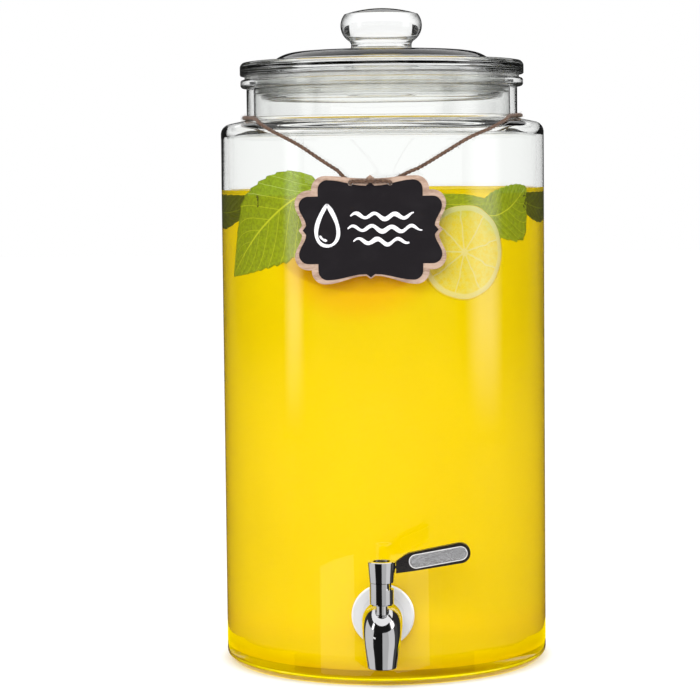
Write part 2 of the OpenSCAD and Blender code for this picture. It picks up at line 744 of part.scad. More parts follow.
module grip_pads() color([0.5, 0.5, 0.52]) {
    translate([0, -stem_y, 0]) rotate([90, 0, 0])
        for (side = [-1, 1])
            translate([0, 0, side * (grip_t - pad_seat + pad_proud) / 2 - (pad_seat + pad_proud) / 2])
                linear_extrude(height = pad_seat + pad_proud) pad_outline(0);
}

module lever_screw() color("gainsboro") {
    head_h = 1.5;
    at_stem(hub_top - recess_depth) difference() {
        union() {
            cylinder(r1 = 3.4, r2 = 2.9, h = head_h);
            translate([0, 0, -screw_depth + 0.5]) cylinder(r = screw_r - running_gap, h = screw_depth);
        }
        for (turn = [0, 90]) rotate(turn)
            translate([-1.8, -0.35, head_h - 0.8]) cube([3.6, 0.7, 1.5]);
    }
}

// ---------------------------------------------------------------- tag and twine

// One quarter of the tag's outline: two lobes with a square notch between them, and a wave with
// a small point in the middle of each side
function tag_quarter(w, h, r, dip_side, dip_top, point) =
    let (corner = [w * 0.6, h - r], side = [w - r, h * 0.485], foot = 2.4,
         wave = function (t) (1 + cos(180 * t)) / 2)
    concat([[w - dip_side + point, 0]],
           [for (i = [0:5]) [w - dip_side * wave(i / 6), foot + (side[1] - foot) * i / 6]],
           arc(side[0], side[1], r, 0, 90, 8),
           [[corner[0] + r, side[1] + r]],
           arc(corner[0], corner[1], r, 0, 90, 8),
           [for (i = [5:-1:0]) [foot + (corner[0] - foot) * i / 6, h - dip_top * wave(i / 6)]],
           [[0, h - dip_top + point]]);

function flip(points, sx, sy) = [for (p = points) [p[0] * sx, p[1] * sy]];
function without_ends(points) = [for (i = [1:len(points) - 2]) points[i]];

// The whole outline: the upper edge dips less than the lower one, to leave wood for the holes
module tag_outline(margin, dip_up, dip_down) {
    w = tag_w / 2 - margin;
    h = tag_h / 2 - margin;
    r = lobe_r - margin;
    upper = tag_quarter(w, h, r, 3.9, dip_up, 2);
    lower = tag_quarter(w, h, r, 3.9, dip_down, 1.8);
    polygon(concat(upper, without_ends(reversed(flip(upper, -1, 1))),
                   flip(lower, -1, -1), without_ends(reversed(flip(lower, 1, -1)))));
}

// Puts a drawing of the tag upright, with its drawing plane at a distance in front of the jar
module on_tag(y) {
    translate([tag_x, -y, tag_z]) rotate([90, 0, 0]) children();
}

module tag_board() color([0.62, 0.47, 0.36]) {
    on_tag(board_back) difference() {
        linear_extrude(height = board_t) tag_outline(0, 1.5, 4.6);
        translate([0, 0, board_t - face_seat])
            linear_extrude(height = face_seat + 1) tag_outline(border_w, 3.2, 3.2);
        for (side = [-1, 1])
            translate([side * hole_pitch / 2, hole_up, -1])
                cylinder(d = hole_d, h = board_t + 2, $fn = 32);
    }
}

module tag_face() color([0.1, 0.09, 0.1]) {
    on_tag(board_front - face_seat) difference() {
        linear_extrude(height = face_t) tag_outline(border_w + 0.05, 3.2, 3.2);
        for (side = [-1, 1])
            translate([side * hole_pitch / 2, hole_up, -1])
                cylinder(d = hole_d + 0.4, h = face_t + 2, $fn = 32);
    }
}

// Route of the twine from the tag's left side, round the back of the neck, to its right side.
// Each point is an azimuth, a radius and a height.
left_leg = [[-13.5, 95.4, 281.6], [-16, 94.4, 284], [-19, 93.9, 286.9], [-27, 94, 295],
            [-33, 94, 299.7], [-40, 93.8, 304.4], [-46.5, 91.2, 308.25], [-50.5, 88.2, 309.75],
            [-55, 85, 310.5], [-64, 81.4, 311.2], [-76, 79.5, 311.7]];
right_leg = [[79, 79.5, 311.7], [66, 81.4, 311.2], [57.5, 85, 310.5], [53, 88.2, 309.75],
             [49, 91.2, 308.25], [41, 93.8, 304.2], [34.5, 94, 300.7], [29.5, 94, 297.4],
             [20.5, 94, 289.4], [13.6, 94.2, 283.1], [10.6, 94.6, 281.1]];
neck_wrap = [for (a = [-95:-19:-266]) [a, 79.5, 311.75]];

module twine_loop() color([0.55, 0.38, 0.24]) {
    route = [for (p = concat(left_leg, neck_wrap, right_leg)) place(p)];
    path = smooth(route, 2);
    sweep(path, [for (p = path) twine_r], 8, [0, 0, 1]);
}

// The twine's stretch on the tag: in through one hole, across the front and back out
module twine_bridge() color([0.55, 0.38, 0.24]) {
    left_x = tag_x - hole_pitch / 2;
    right_x = tag_x + hole_pitch / 2;
    upper_z = hole_z + 0.9;
    across = [[left_x - 5, -hinge_y, hinge_z], [left_x - 2, -hinge_y, hole_z + 1.9],
              [left_x, -board_back - 0.2, hole_z], [left_x, -board_front + 0.2, hole_z],
              [left_x + 1.8, -front_strand_y, upper_z], [tag_x, -front_strand_y, upper_z],
              [right_x - 1.8, -front_strand_y, upper_z], [right_x, -board_front + 0.2, hole_z],
              [right_x, -board_back - 0.2, hole_z], [right_x + 3, -hinge_y, hole_z + 1.9],
              [right_x + 7.8, -hinge_y, hinge_z]];
    upper = smooth(across, 3);
    sweep(upper, [for (p = upper) twine_r], 8, [0, 0, 1]);
}

jar();
jar_neck();
lid();
lid_seal();
spout();
tap_shank();
wall_plate();
outer_gasket();
inner_gasket();
washer();
lock_nut();
bonnet();
gland_ring();
valve_ball();
inlet_seat();
outlet_seat();
valve_stem();
stem_orings();
stop_pin();
lever();
lever_grip();
grip_pads();
lever_screw();
tag_board();
tag_face();
twine_loop();
twine_bridge();
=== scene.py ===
"""Looks of a glass drink dispenser: jar, lid, tap, chalk tag on its twine, and the lemonade inside.

Lengths are metres in the part's own frame: +Z up the jar's axis, the tap towards -Y.
"""

import logging
import math
from collections.abc import Iterable, Sequence
from dataclasses import dataclass, field
from enum import Enum
from functools import partial

import bmesh
import bpy
import numpy as np
from mathutils import Matrix, Vector


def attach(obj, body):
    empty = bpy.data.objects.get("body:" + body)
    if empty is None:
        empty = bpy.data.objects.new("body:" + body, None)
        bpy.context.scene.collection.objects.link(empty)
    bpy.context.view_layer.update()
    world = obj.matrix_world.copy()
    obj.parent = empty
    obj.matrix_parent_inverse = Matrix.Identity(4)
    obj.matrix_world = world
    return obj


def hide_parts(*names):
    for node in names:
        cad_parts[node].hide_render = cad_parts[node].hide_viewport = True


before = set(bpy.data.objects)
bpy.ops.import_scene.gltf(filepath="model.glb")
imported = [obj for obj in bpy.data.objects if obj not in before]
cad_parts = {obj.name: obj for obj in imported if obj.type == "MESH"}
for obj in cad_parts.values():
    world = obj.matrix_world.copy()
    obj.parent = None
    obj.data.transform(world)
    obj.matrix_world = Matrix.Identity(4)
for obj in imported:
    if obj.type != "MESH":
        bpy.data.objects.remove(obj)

log = logging.getLogger("dispenser")
MM = 0.001
TAU = 2 * math.pi
ON_AXIS = 1e-6  # millimetres from the axis below which a ring is one point
SAME_POINT = 1e-7  # metres between points that are merged
X_AXIS = Vector((1, 0, 0))
WHITE = (1.0, 1.0, 1.0)

Point = tuple[float, float]
Triple = tuple[float, float, float]
Face = tuple[int, ...]
Piece = bpy.types.Object
Material = bpy.types.Material
Node = bpy.types.Node
Tree = bpy.types.NodeTree
Socket = bpy.types.NodeSocket


class Body(Enum):
    """The bodies that pieces ride on."""

    JAR = "jar"
    LID = "lid"
    TAG = "tag"


# ------------------------------------------------------------------ meshes


def mesh_object(
    name: str, verts: Iterable[Sequence[float]], faces: Iterable[Sequence[int]], smooth: bool = True
) -> Piece:
    """Makes a mesh object at the origin.

    Args:
        name: The piece's name.
        verts: Its points, in metres.
        faces: Its faces, as indices of the points.
        smooth: Whether the faces are shaded smooth.

    Returns:
        The new object, linked to the scene.
    """
    mesh = bpy.data.meshes.new(name)
    mesh.from_pydata([tuple(v) for v in verts], [], [tuple(f) for f in faces])
    mesh.polygons.foreach_set("use_smooth", [smooth] * len(mesh.polygons))
    mesh.update()
    piece = bpy.data.objects.new(name, mesh)
    bpy.context.scene.collection.objects.link(piece)
    return piece


def outward(piece: Piece) -> Piece:
    """Drops loose points, merges doubles and turns a closed mesh's faces outwards.

    Args:
        piece: The object to clean.

    Returns:
        The same object.
    """
    work = bmesh.new()
    work.from_mesh(piece.data)
    bmesh.ops.delete(work, geom=[v for v in work.verts if not v.link_faces], context="VERTS")
    bmesh.ops.remove_doubles(work, verts=work.verts, dist=SAME_POINT)
    bmesh.ops.recalc_face_normals(work, faces=work.faces)
    work.to_mesh(piece.data)
    work.free()
    return piece


def arc(cx: float, cz: float, r: float, start: float, end: float, steps: int) -> list[Point]:
    """Points of an arc in the profile plane.

    Args:
        cx: Centre's distance from the axis.
        cz: Centre's height.
        r: Radius.
        start: First angle in degrees.
        end: Last angle in degrees.
        steps: Number of chords.

    Returns:
        The points, ends included.
    """
    angles = [math.radians(start + (end - start) * i / steps) for i in range(steps + 1)]
    return [(cx + r * math.cos(a), cz + r * math.sin(a)) for a in angles]


def supported(profile: Sequence[Point], hold: float = 0.5, longest: float = 9.0) -> list[Point]:
    """Adds points beside the corners of a profile's long straights, so that smooth shading stays true.

    Args:
        profile: The profile, in millimetres.
        hold: Distance of the added points from the corners.
        longest: Longest step left in a straight.

    Returns:
        The profile with its added points.
    """
    out: list[Point] = []
    for a, b in zip(profile, profile[1:]):
        length = math.dist(a, b)
        out.append(a)
        if length > 4 * hold:
            inner = max(1, math.ceil((length - 2 * hold) / longest))
            marks = [hold + (length - 2 * hold) * i / inner for i in range(inner + 1)]
            out += [(a[0] + (b[0] - a[0]) * m / length, a[1] + (b[1] - a[1]) * m / length) for m in marks]
    return out + [profile[-1]]


def lathe(name: str, profile: Sequence[Point], segments: int = 256, axis: Point = (0, 0)) -> Piece:
    """Turns a profile round a vertical axis.

    Args:
        name: The piece's name.
        profile: Distances from the axis and heights, in millimetres. It closes on itself or on the axis.
        segments: Number of segments round.
        axis: The axis's X and Y in millimetres.

    Returns:
        The closed object, with its faces outwards.
    """
    closed = profile[0][0] > ON_AXIS
    verts = [
        (axis[0] + r * math.cos(TAU * k / segments), axis[1] + r * math.sin(TAU * k / segments), z)
        for r, z in profile
        for k in range(segments)
    ]
    faces = []
    for i in range(len(profile) if closed else len(profile) - 1):
        j = (i + 1) % len(profile)
        for k in range(segments):
            n = (k + 1) % segments
            quad = [i * segments + k, i * segments + n, j * segments + n, j * segments + k]
            if profile[i][0] <= ON_AXIS:
                quad = [i * segments, quad[2], quad[3]]
            elif profile[j][0] <= ON_AXIS:
                quad = [quad[0], quad[1], j * segments]
            faces.append(quad)
    return outward(mesh_object(name, [[c * MM for c in v] for v in verts], faces))


def ring_faces(rings: int, around: int) -> list[Face]:
    """The faces between rings of points that follow one another.

    Args:
        rings: Number of rings.
        around: Number of points in each ring.

    Returns:
        The faces, as indices of the points.
    """
    return [
        (i * around + k, i * around + (k + 1) % around, (i + 1) * around + (k + 1) % around, (i + 1) * around + k)
        for i in range(rings - 1)
        for k in range(around)
    ]


def unwrap(piece: Piece, name: str, places: Sequence[Point]) -> None:
    """Lays a UV map over a piece.

    Args:
        piece: The object to unwrap.
        name: The map's name.
        places: A place on the map for each of the piece's points.
    """
    layer = piece.data.uv_layers.new(name=name)
    for loop in piece.data.loops:
        layer.data[loop.index].uv = places[loop.vertex_index]


def applied(piece: Piece) -> bpy.types.Mesh:
    """A plain mesh of an object as its modifiers leave it."""
    return bpy.data.meshes.new_from_object(piece.evaluated_get(bpy.context.evaluated_depsgraph_get()))


def at_wall(azimuth: float, radius: float, z: float) -> Vector:
    """A point round the jar's axis.

    Args:
        azimuth: Angle from the front towards +X, in degrees.
        radius: Distance from the jar's axis, in millimetres.
        z: Height in millimetres.

    Returns:
        The point in metres.
    """
    a = math.radians(azimuth)
    return MM * Vector((radius * math.sin(a), -radius * math.cos(a), z))


def smooth_path(points: Sequence[Vector], steps: int) -> list[Vector]:
    """A smooth curve through points.

    Args:
        points: The points to pass through.
        steps: Number of steps between two of them.

    Returns:
        The curve's points.
    """
    out: list[Vector] = []
    last = len(points) - 1
    for i in range(last):
        a, b, c, d = (points[max(i - 1, 0)], points[i], points[i + 1], points[min(i + 2, last)])
        for k in range(steps):
            t = k / steps
            level = 2 * b + (c - a) * t + (2 * a - 5 * b + 4 * c - d) * t * t
            out.append(0.5 * (level + (3 * b - a - 3 * c + d) * t**3))
    return out + [points[-1].copy()]


def carried_sides(path: Sequence[Vector], first: Vector) -> list[tuple[Vector, Vector]]:
    """Two directions square to a path at each of its points, carried along without twist.

    Args:
        path: The path's points.
        first: Direction that the first side leans to.

    Returns:
        A pair of unit vectors for each point.
    """
    out = []
    side = first
    for i in range(len(path)):
        heading = (path[min(i + 1, len(path) - 1)] - path[max(i - 1, 0)]).normalized()
        side = (side - side.dot(heading) * heading).normalized()
        out.append((side, heading.cross(side)))
    return out


def tube(name: str, path: Sequence[Vector], radii: Sequence[float], around: int, first: Vector) -> Piece:
    """A round solid swept along a path, with closed ends.

    Args:
        name: The piece's name.
        path: The path's points, in metres.
        radii: A radius for each point.
        around: Number of sides.
        first: Direction of the first side.

    Returns:
        The new object.
    """
    sides = carried_sides(path, first)
    verts = [
        p + r * (math.cos(TAU * k / around) * s + math.sin(TAU * k / around) * t)
        for p, r, (s, t) in zip(path, radii, sides)
        for k in range(around)
    ]
    last = (len(path) - 1) * around
    ends = [tuple(range(around)), tuple(range(last, last + around))]
    return outward(mesh_object(name, verts, ring_faces(len(path), around) + ends))


# ------------------------------------------------------------------ materials


def add_node(tree: Tree, kind: str, inputs: dict | None = None, **settings: object) -> Node:
    """Adds a node to a tree.

    Args:
        tree: The tree.
        kind: The node's type.
        inputs: A value or a socket for each named or numbered input.
        settings: The node's own properties.

    Returns:
        The new node.
    """
    node = tree.nodes.new(kind)
    for key, value in settings.items():
        setattr(node, key, value)
    for key, value in (inputs or {}).items():
        if isinstance(value, Socket):
            tree.links.new(value, node.inputs[key])
        else:
            if isinstance(value, tuple) and len(value) == 3 and node.inputs[key].type == "RGBA":
                value = (*value, 1.0)
            node.inputs[key].default_value = value
    return node


def dimmed(colour: Triple, share: float) -> Triple:
    """A colour with each of its parts taken to a share."""
    return tuple(share * c for c in colour)


class Graph:
    """The node tree of a material or a world, with short calls to add and join its nodes."""

    def __init__(self, name: str, world: bool = False) -> None:
        """Makes an empty material of that name, or an empty world."""
        self.owner = (bpy.data.worlds if world else bpy.data.materials).new(name)
        self.owner.use_nodes = True
        self.tree = self.owner.node_tree
        self.tree.nodes.clear()

    def add(self, kind: str, inputs: dict | None = None, **settings: object) -> Node:
        """Adds a node, with its type given without the ShaderNode prefix."""
        return add_node(self.tree, "ShaderNode" + kind, inputs, **settings)

    def place(self, stretch: Triple = (1, 1, 1), uv: bool = False) -> Socket:
        """The surface's own coordinates, stretched."""
        source = self.add("TexCoord").outputs["UV" if uv else "Object"]
        return self.add("Mapping", {"Vector": source, "Scale": stretch}).outputs[0]

    def noise(self, scale: float, detail: float = 4, at: Socket | None = None, rough: float = 0.5) -> Socket:
        """A noise pattern's value, with its scale in waves per metre."""
        inputs = {"Vector": at or self.place(), "Scale": scale, "Detail": detail, "Roughness": rough}
        return self.add("TexNoise", inputs).outputs[0]

    def parts(self, vector: Socket) -> Sequence[Socket]:
        """A vector's three parts."""
        return self.add("SeparateXYZ", {0: vector}).outputs

    def maths(self, kind: str, a: object, b: object = 0.0) -> Socket:
        """The result of a Math node."""
        return self.add("Math", {0: a, 1: b}, operation=kind).outputs[0]

    def length(self, a: Socket, b: Socket) -> Socket:
        """The length of a flat vector, from its two parts."""
        return self.maths("SQRT", self.maths("ADD", self.maths("POWER", a, 2), self.maths("POWER", b, 2)))

    def in_view(self) -> Socket:
        """1 for what the camera sees, straight, mirrored or through glass, and 0 for light on its way."""
        path = self.add("LightPath").outputs
        mirrored = self.maths("MAXIMUM", path["Is Camera Ray"], path["Is Glossy Ray"])
        return self.maths("MAXIMUM", mirrored, path["Is Transmission Ray"])

    def span(self, value: Socket, low: float, high: float, to_low: float = 0, to_high: float = 1) -> Socket:
        """A value taken smoothly from one span to another."""
        inputs = {0: value, 1: low, 2: high, 3: to_low, 4: to_high}
        return self.add("MapRange", inputs, interpolation_type="SMOOTHSTEP").outputs[0]

    def blend(self, share: object, a: object, b: object, kind: str = "MIX") -> Socket:
        """A mix of two colours."""
        return self.add("Mix", {0: share, 6: a, 7: b}, data_type="RGBA", blend_type=kind).outputs[2]

    def bump(self, height: Socket, depth: float) -> Socket:
        """A normal raised by a height, with its depth in metres."""
        return self.add("Bump", {"Height": height, "Distance": depth, "Strength": 1.0}).outputs[0]

    def principled(self, **inputs: object) -> Socket:
        """A Principled shader, with its inputs named by words joined with underscores."""
        return self.add("BsdfPrincipled", {k.replace("_", " "): v for k, v in inputs.items()}).outputs[0]

    def emission(self, colour: Triple, strength: object) -> Socket:
        """A surface that glows."""
        return self.add("Emission", {"Color": colour, "Strength": strength}).outputs[0]

    def mixed(self, share: object, first: Socket, second: Socket | None = None) -> Socket:
        """A mix of two shaders, or of one with black."""
        shaders = {0: share, 1: first} if second is None else {0: share, 1: first, 2: second}
        return self.add("MixShader", shaders).outputs[0]

    def finish(self, surface: Socket, volume: Socket | None = None) -> Material:
        """Joins the surface and the volume to the output and gives the material."""
        out = self.add("OutputMaterial", {"Surface": surface})
        if volume is not None:
            self.tree.links.new(volume, out.inputs["Volume"])
        return self.owner

    def thin(self, skin: Socket, tone: Socket, share: float) -> Material:
        """Gives the material of something thin, which lets a share of the light through in its own tone."""
        glow = self.add("BsdfTranslucent", {"Color": tone}).outputs[0]
        return self.finish(self.mixed(share, skin, glow))

    def lit_through(self, surface: Socket, shade: Triple) -> Socket:
        """Lets lamps shine through a clear surface, and takes a little of their light."""
        clear = self.add("BsdfTransparent", {"Color": shade}).outputs[0]
        shadow = self.add("LightPath").outputs["Is Shadow Ray"]
        return self.mixed(shadow, surface, clear)


@dataclass(frozen=True)
class ClearGlass:
    """Pressed glass: clear, faintly green, with a mould's soft waves, and painted shade at grazing angles.

    The edge shares say how dark the painted shade turns there, below and above the height where the knob starts;
    it stands in for the dark edges of thick glass.
    """

    name: str = "clear_glass"
    tint: Triple = (0.985, 0.995, 0.985)
    wave: float = 0.0009
    edge: float = 1.0
    knob_edge_shade: float = 1.0
    knob_from: float = 0.351
    knob_fade: float = 0.002
    shade: Triple = (0.93, 0.95, 0.93)

    def build(self) -> Material:
        """Makes the material."""
        g = Graph(self.name)
        waves = g.noise(14, 2, g.place((1, 1, 0.35)))
        grazing = g.add("LayerWeight", {"Blend": 0.5}).outputs["Facing"]
        knob = g.span(g.parts(g.place())[2], self.knob_from, self.knob_from + self.knob_fade)
        # painted shade: at grazing angles the base colour darkens to these shares of the tint, most on the knob
        grazing_shade = g.blend(knob, dimmed(self.tint, self.edge), dimmed(self.tint, self.knob_edge_shade))
        glass = g.principled(
            Base_Color=g.blend(g.span(grazing, 0.3, 0.8), self.tint, grazing_shade),
            Roughness=0.0,
            IOR=1.5,
            Transmission_Weight=1.0,
            Normal=g.bump(waves, self.wave),
        )
        return g.finish(g.lit_through(glass, self.shade))


@dataclass(frozen=True)
class Lemonade:
    """Cloudy lemonade: part of the light comes back from its surface, the rest turns deep yellow inside."""

    name: str = "lemonade"
    body: Triple = (1.0, 0.78, 0.0)
    depth_tint: Triple = (1.0, 0.9, 0.02)
    density: float = 7.0
    glow_colour: Triple = (1.0, 0.56, 0.0)
    glow_middle: Triple = (-0.012, -0.08, 0.232)
    glow_reach: Triple = (0.047, 0.05, 0.036)
    shade: Triple = (1.0, 0.9, 0.35)

    def build(self) -> Material:
        """Makes the material, with a painted orange glow where a whole lemon shows faintly through the cloud."""
        g = Graph(self.name)
        swirl = g.noise(16, 3, g.place((1, 1, 0.6)))
        tone = g.blend(g.span(swirl, 0.35, 0.7), self.body, dimmed(self.body, 0.95))
        # painted glow: round a fixed point the drink's colour turns orange, for the whole lemon's light seen
        # through the cloud
        here = g.add("TexCoord").outputs["Object"]
        spot = {"Vector": here, "Location": self.glow_middle, "Scale": self.glow_reach}
        near = g.add("Mapping", spot, vector_type="TEXTURE").outputs[0]
        away = g.add("VectorMath", {0: near}, operation="LENGTH").outputs["Value"]
        tone = g.blend(g.span(away, 0.55, 1.05, 0.8, 0.0), tone, self.glow_colour)
        juice = g.principled(
            Base_Color=tone,
            Roughness=0.05,
            IOR=1.33,
            Specular_IOR_Level=0.0,
            Transmission_Weight=0.45,
        )
        cloud = g.add("VolumeAbsorption", {"Color": self.depth_tint, "Density": self.density})
        return g.finish(g.lit_through(juice, self.shade), cloud.outputs[0])


@dataclass(frozen=True)
class Metal:
    """Steel or brass, polished or turned."""

    name: str
    colour: Triple
    roughness: float
    marks: float
    stretch: Triple = (1, 1, 1)
    metallic: float = 1.0

    def build(self) -> Material:
        """Makes the material."""
        g = Graph(self.name)
        fine = g.noise(900, 3, g.place(self.stretch))
        broad = g.noise(60, 2)
        metal = g.principled(
            Base_Color=g.blend(g.span(broad, 0.3, 0.7), self.colour, dimmed(self.colour, 0.94)),
            Metallic=self.metallic,
            Roughness=g.span(fine, 0.3, 0.7, self.roughness * 0.8, self.roughness * 1.3),
            Normal=g.bump(fine, self.marks),
        )
        return g.finish(metal)


@dataclass(frozen=True)
class Moulded:
    """Plastic or rubber from a mould, with a fine grain."""

    name: str
    colour: Triple
    roughness: float
    grain: float = 0.00002
    clear: float = 0.0

    def build(self) -> Material:
        """Makes the material."""
        g = Graph(self.name)
        grain = g.noise(1400, 3)
        broad = g.noise(90, 3)
        skin = g.principled(
            Base_Color=g.blend(g.span(broad, 0.3, 0.7), self.colour, dimmed(self.colour, 0.85)),
            Roughness=g.span(grain, 0.3, 0.7, self.roughness * 0.85, min(1.0, self.roughness * 1.15)),
            Transmission_Weight=self.clear,
            Normal=g.bump(grain, self.grain),
        )
        if self.clear:
            return g.finish(g.lit_through(skin, (0.8, 0.8, 0.8)))
        return g.finish(skin)


@dataclass(frozen=True)
class SpeckledPad:
    """The grip's textured pad: grey with pale flecks, and a light edge all round."""

    name: str = "speckled_pad"
    middle: Triple = (0.0302, -0.122, 0.0765)
    turn: float = math.radians(10.2)
    half_run: float = 0.012
    half_height: float = 0.00375
    edge: Point = (0.0005, 0.0002)

    def build(self) -> Material:
        """Makes the material."""
        g = Graph(self.name)
        flecks = g.noise(2600, 2, rough=0.8)
        coarse = g.noise(3400, 2)
        grey = g.blend(g.span(flecks, 0.42, 0.62), (0.035, 0.035, 0.037), (0.36, 0.36, 0.37))
        grey = g.blend(g.span(coarse, 0.48, 0.66, 0, 0.4), grey, (0.55, 0.55, 0.56))
        inputs = {"Vector": g.add("TexCoord").outputs["Object"], "Location": tuple(-c for c in self.middle)}
        shifted = g.add("Mapping", inputs).outputs[0]
        turned = g.add("Mapping", {"Vector": shifted, "Rotation": (0, self.turn, 0)}).outputs[0]
        run, _, up = g.parts(turned)
        along = g.maths("MAXIMUM", g.maths("SUBTRACT", g.maths("ABSOLUTE", run), self.half_run))
        low, high = (self.half_height - inset for inset in self.edge)
        edge = g.span(g.length(along, up), low, high)
        skin = g.principled(
            Base_Color=g.blend(edge, grey, (0.72, 0.7, 0.7)),
            Roughness=0.55,
            Normal=g.bump(flecks, 0.00012),
        )
        return g.finish(skin)


@dataclass(frozen=True)
class BareWood:
    """The tag's cut edge: pale brown board with its grain along X."""

    name: str = "bare_wood"

    def build(self) -> Material:
        """Makes the material."""
        g = Graph(self.name)
        grain = g.noise(420, 5, g.place((0.12, 1, 1)))
        fibre = g.noise(2600, 3, g.place((0.2, 1, 1)))
        tone = g.blend(g.span(grain, 0.35, 0.65), (0.42, 0.29, 0.22), (0.27, 0.17, 0.12))
        tone = g.blend(g.span(fibre, 0.4, 0.7, 0, 0.5), tone, (0.5, 0.38, 0.3))
        return g.finish(g.principled(Base_Color=tone, Roughness=0.75, Normal=g.bump(fibre, 0.00005)))


@dataclass(frozen=True)
class ChalkFace:
    """Black chalkboard paint with the dust of wiped chalk."""

    name: str = "chalk_face"

    def build(self) -> Material:
        """Makes the material."""
        g = Graph(self.name)
        dust = g.noise(70, 5, g.place((1, 1, 1.6)))
        grain = g.noise(1500, 2)
        tone = g.blend(g.span(dust, 0.45, 0.8, 0, 0.35), (0.009, 0.0065, 0.009), (0.018, 0.015, 0.018))
        return g.finish(g.principled(Base_Color=tone, Roughness=0.7, Normal=g.bump(grain, 0.00002)))


@dataclass(frozen=True)
class Chalk:
    """White chalk, worn thin in places so that the board shows through."""

    name: str = "chalk"

    def build(self) -> Material:
        """Makes the material."""
        g = Graph(self.name)
        grain = g.noise(1800, 3)
        tone = g.blend(g.span(grain, 0.3, 0.42), (0.35, 0.33, 0.36), (0.78, 0.77, 0.8))
        return g.finish(g.principled(Base_Color=tone, Roughness=0.9, Normal=g.bump(grain, 0.00004)))


@dataclass(frozen=True)
class Jute:
    """Twisted jute: brown, with paler and darker fibres."""

    name: str = "jute"

    def build(self) -> Material:
        """Makes the material."""
        g = Graph(self.name)
        tuft = g.noise(650, 4)
        fibre = g.noise(3200, 3, g.place((1, 1, 0.6)))
        tone = g.blend(g.span(tuft, 0.3, 0.7), (0.05, 0.022, 0.012), (0.13, 0.065, 0.036))
        tone = g.blend(g.span(fibre, 0.45, 0.7, 0, 0.6), tone, (0.26, 0.15, 0.09))
        yarn = g.principled(Base_Color=tone, Roughness=0.85, Sheen_Weight=0.25, Normal=g.bump(fibre, 0.00015))
        return g.finish(yarn)


@dataclass(frozen=True)
class LeafSkin:
    """A mint leaf: green with paler veins, painted yellower below the water line for the drink's light on it, and
    thin enough to let light through.
    """

    name: str
    green: Triple
    pale: Triple
    water_line: Point = (0.2675, 0.2695)

    def build(self) -> Material:
        """Makes the material."""
        g = Graph(self.name)
        along, side, _ = g.parts(g.add("TexCoord").outputs["UV"])
        across = g.maths("ABSOLUTE", g.maths("SUBTRACT", side, 0.5))
        rib = g.span(across, 0.004, 0.018, 1, 0)
        slant = g.maths("SUBTRACT", along, g.maths("MULTIPLY", across, 0.55))
        ripple = g.maths("PINGPONG", g.maths("MULTIPLY", slant, 9), 0.5)
        veins = g.maths("MAXIMUM", rib, g.span(ripple, 0.0, 0.05, 0.8, 0))
        net = g.noise(600, 4)
        tone = g.blend(g.span(net, 0.3, 0.7), self.green, dimmed(self.green, 0.7))
        tone = g.blend(veins, tone, self.pale)
        # painted light: below the water line the colour is multiplied by yellow, for the drink's yellow light on
        # the leaf
        sunk = g.span(g.parts(g.place())[2], *self.water_line, 1, 0)
        tone = g.blend(sunk, tone, g.blend(sunk, WHITE, (1.0, 0.9, 0.12)), "MULTIPLY")
        height = g.maths("ADD", ripple, g.maths("MULTIPLY", net, 0.3))
        skin = g.principled(Base_Color=tone, Roughness=0.42, Normal=g.bump(height, 0.0003))
        return g.thin(skin, tone, 0.25)


@dataclass(frozen=True)
class Fruit:
    """The skin of a fruit: two tones in soft spots, dimpled, and a little light through it."""

    name: str
    colour: Triple
    other: Triple
    scale: float
    bump: float
    through: float

    def build(self) -> Material:
        """Makes the material."""
        g = Graph(self.name)
        spots = g.noise(self.scale, 4)
        tone = g.blend(g.span(spots, 0.35, 0.65), self.colour, self.other)
        skin = g.principled(Base_Color=tone, Roughness=0.4, Normal=g.bump(spots, self.bump))
        return g.thin(skin, tone, self.through)


def dress(piece: Piece, material: Material) -> None:
    """Gives a piece one material.

    Args:
        piece: The object to dress.
        material: Its material.
    """
    if piece.material_slots:
        for slot in piece.material_slots:
            slot.link = "OBJECT"
            slot.material = material
    else:
        piece.data.materials.append(material)


def stand_for(piece: Piece, body: Body, slot: str, material: Material, *nodes: str) -> None:
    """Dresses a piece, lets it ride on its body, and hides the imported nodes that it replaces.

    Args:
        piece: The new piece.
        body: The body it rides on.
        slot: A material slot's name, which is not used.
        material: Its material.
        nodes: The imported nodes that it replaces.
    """
    dress(piece, material)
    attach(piece, body.value)
    if nodes:
        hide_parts(*nodes)
    log.info("made %s, %d faces", piece.name, len(piece.data.polygons))


# ------------------------------------------------------------------ studio


@dataclass
class Viewpoint:
    """The camera, as the part's frame has it."""

    place: Triple = (0.02784, -1.4267, 0.2879)
    yaw: float = -0.0333
    pitch: float = 0.0771
    roll: float = -0.0100
    lens: float = 127.31
    sensor: float = 36.0
    clip: Point = (0.05, 50.0)

    def build(self) -> None:
        """Makes the camera and sets it as the scene's."""
        cy, sy = math.cos(self.yaw), math.sin(self.yaw)
        cp, sp = math.cos(self.pitch), math.sin(self.pitch)
        ahead = Vector((sy * cp, cy * cp, -sp))
        level = Vector((cy, -sy, 0))
        above = level.cross(ahead)
        right = level * math.cos(self.roll) + above * math.sin(self.roll)
        up = above * math.cos(self.roll) - level * math.sin(self.roll)
        data = bpy.data.cameras.new("viewpoint")
        data.lens, data.sensor_width = self.lens, self.sensor
        data.clip_start, data.clip_end = self.clip
        camera = bpy.data.objects.new("viewpoint", data)
        turned = Matrix((right, up, -ahead)).transposed().to_4x4()
        camera.matrix_world = Matrix.Translation(self.place) @ turned
        bpy.context.scene.collection.objects.link(camera)
        bpy.context.scene.camera = camera


